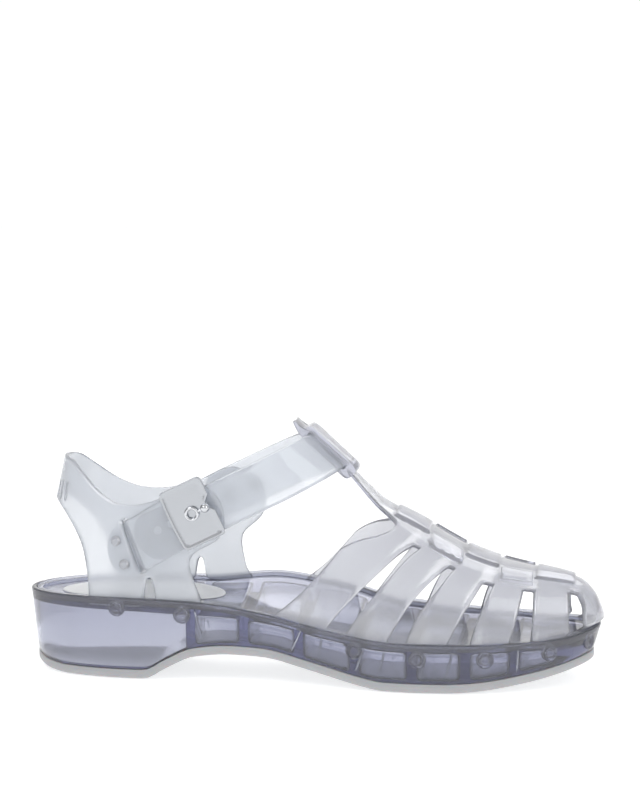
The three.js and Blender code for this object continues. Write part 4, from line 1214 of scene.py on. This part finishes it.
def footbed_level(x, y):
    """Height of the dished footbed at a point in millimetres."""
    at = (x - FOOTBED_INSET) / (SOLE_LENGTH - 2 * FOOTBED_INSET)
    outer = float(half_width(at, np.array(-1), FOOTBED_INSET))
    inner = float(half_width(at, np.array(1), FOOTBED_INSET))
    share = (y + outer) / (outer + inner)
    rim = float(rim_height(at, -1)) * (1 - share) + float(rim_height(at, 1)) * share
    sink = FOOTBED_DISH * 4 * share * (1 - share) * math.sin(math.acos(1 - 2 * at))
    return rim - FOOTBED_DROP - sink


def make_badge():
    """A thin oval that follows the footbed, with a rounded edge and a shallow border groove."""
    rings = []
    for share, height in BADGE_RINGS:
        rings.append([])
        for angle in angles(72):
            x = BADGE_CENTRE * SOLE_LENGTH + BADGE_LENGTH / 2 * share * math.cos(angle)
            y = BADGE_WIDTH / 2 * share * math.sin(angle)
            rings[-1].append([x, y, footbed_level(x, y) + height])
    return seat(swept_rings("heel_badge_oval", rings, badge_white), "badge", "heel_badge")


def turned_disc(name, node, radius, profile, finish):
    """A moulded disc on a CAD disc's place and axis; its profile starts from the disc's outer face."""
    points = np.array([corner.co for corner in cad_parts[node].data.vertices]) * 1000
    centre = points.mean(0)
    axis = np.linalg.svd(points - centre)[2][2]
    if axis[:2] @ centre[:2] < 0:
        axis = -axis
    first = np.cross(axis, [0, 0, 1.0])
    first /= np.linalg.norm(first)
    second = np.cross(axis, first)
    top = np.max((points - centre) @ axis)
    rings = []
    for share, height in profile:
        middle = centre + axis * (top + height) - PLACE
        rings.append([middle + (first * math.cos(angle) + second * math.sin(angle)) * radius * share
                      for angle in angles(40)])
    return swept_rings(name, rings, finish)


def make_discs():
    for node in sorted(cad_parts):
        for start, radius, slot_name, profile in DISCS:
            if node.startswith(start):
                plug = start == "side_plug"
                name = node.replace("side_plug", "plug") if plug else node + "_cap"
                disc = turned_disc(name, node, radius, profile, plug_pvc if plug else upper_pvc)
                seat(disc, slot_name, node)


make_outsole()
make_sole()
seat(make_cage(), "clear_upper", "upper")
for part in (make_counter(), make_lasting_band(), make_keeper()):
    seat(part, "clear_upper")
make_ankle_strap()
make_buckle_strap()
make_buckle()
make_badge()
make_discs()


# Studio: a pale floor, a bright backdrop and soft lights

def make_floor():
    bpy.ops.mesh.primitive_plane_add(size=8, location=(0, 0, -0.0004))
    floor = bpy.context.active_object
    floor.name = "floor"
    finish, tree, output = start_finish("pale_paper")
    principled(tree, output, {
        "Base Color": linear("#EDEDED"), "Roughness": 0.9, "Emission Color": linear("#FFFFFF"),
        "Emission Strength": 0.5})
    floor.data.materials.append(finish)


def product(tree, first, second):
    return add(tree, "ShaderNodeMath", {0: first, 1: second}, operation="MULTIPLY").outputs["Value"]


def make_world():
    """White behind the shoe, darker overhead, at the sides and in front, so that the clear edges show."""
    world = bpy.data.worlds.new("white_studio")
    bpy.context.scene.world = world
    world.use_nodes = True
    tree = world.node_tree
    tree.nodes.clear()
    place = add(tree, "ShaderNodeTexCoord")
    split = add(tree, "ShaderNodeSeparateXYZ", {"Vector": place.outputs["Generated"]})
    sideways = add(tree, "ShaderNodeMath", {0: split.outputs["X"]}, operation="ABSOLUTE").outputs["Value"]
    smooth = {"interpolation_type": "SMOOTHSTEP"}
    overhead = spread(tree, split.outputs["Z"], 1.02, 0.72, 0.05, 0.8, **smooth)
    sides = spread(tree, sideways, 1.0, 0.5, 0.3, 0.85, **smooth)
    front = spread(tree, split.outputs["Y"], 0.76, 1.0, -0.5, 0.3, **smooth)
    light = product(tree, product(tree, overhead, sides), front)
    sky = add(tree, "ShaderNodeBackground", {"Color": (1, 1, 1, 1), "Strength": light})
    output = add(tree, "ShaderNodeOutputWorld")
    tree.links.new(sky.outputs["Background"], output.inputs["Surface"])


def soft_light(name, place, target, size, power):
    data = bpy.data.lights.new(name, "AREA")
    data.shape = "RECTANGLE"
    data.size, data.size_y = size
    data.energy = power
    light = bpy.data.objects.new(name, data)
    bpy.context.scene.collection.objects.link(light)
    light.location = place
    light.rotation_euler = (Vector(target) - Vector(place)).to_track_quat("-Z", "Y").to_euler()


def make_camera():
    data = bpy.data.cameras.new("camera")
    data.lens = 112.27
    data.sensor_width = 36
    camera = bpy.data.objects.new("camera", data)
    bpy.context.scene.collection.objects.link(camera)
    camera.location = (0.13038, -1.07308, 0.24290)
    aim = Vector((0.00227, 0, 0.11538))
    camera.rotation_euler = (aim - camera.location).to_track_quat("-Z", "Y").to_euler()
    bpy.context.scene.camera = camera


make_floor()
make_world()
soft_light("key", (-0.7, -0.9, 1.1), (0, 0, 0.05), (0.7, 0.7), 4.5)
soft_light("fill", (0.9, -0.6, 0.7), (0.05, 0, 0.04), (0.6, 0.9), 3)
soft_light("back", (0.1, 1.1, 0.9), (0, 0, 0.05), (1.2, 0.6), 3.5)
make_camera()
bpy.context.scene.view_settings.view_transform = "Standard"
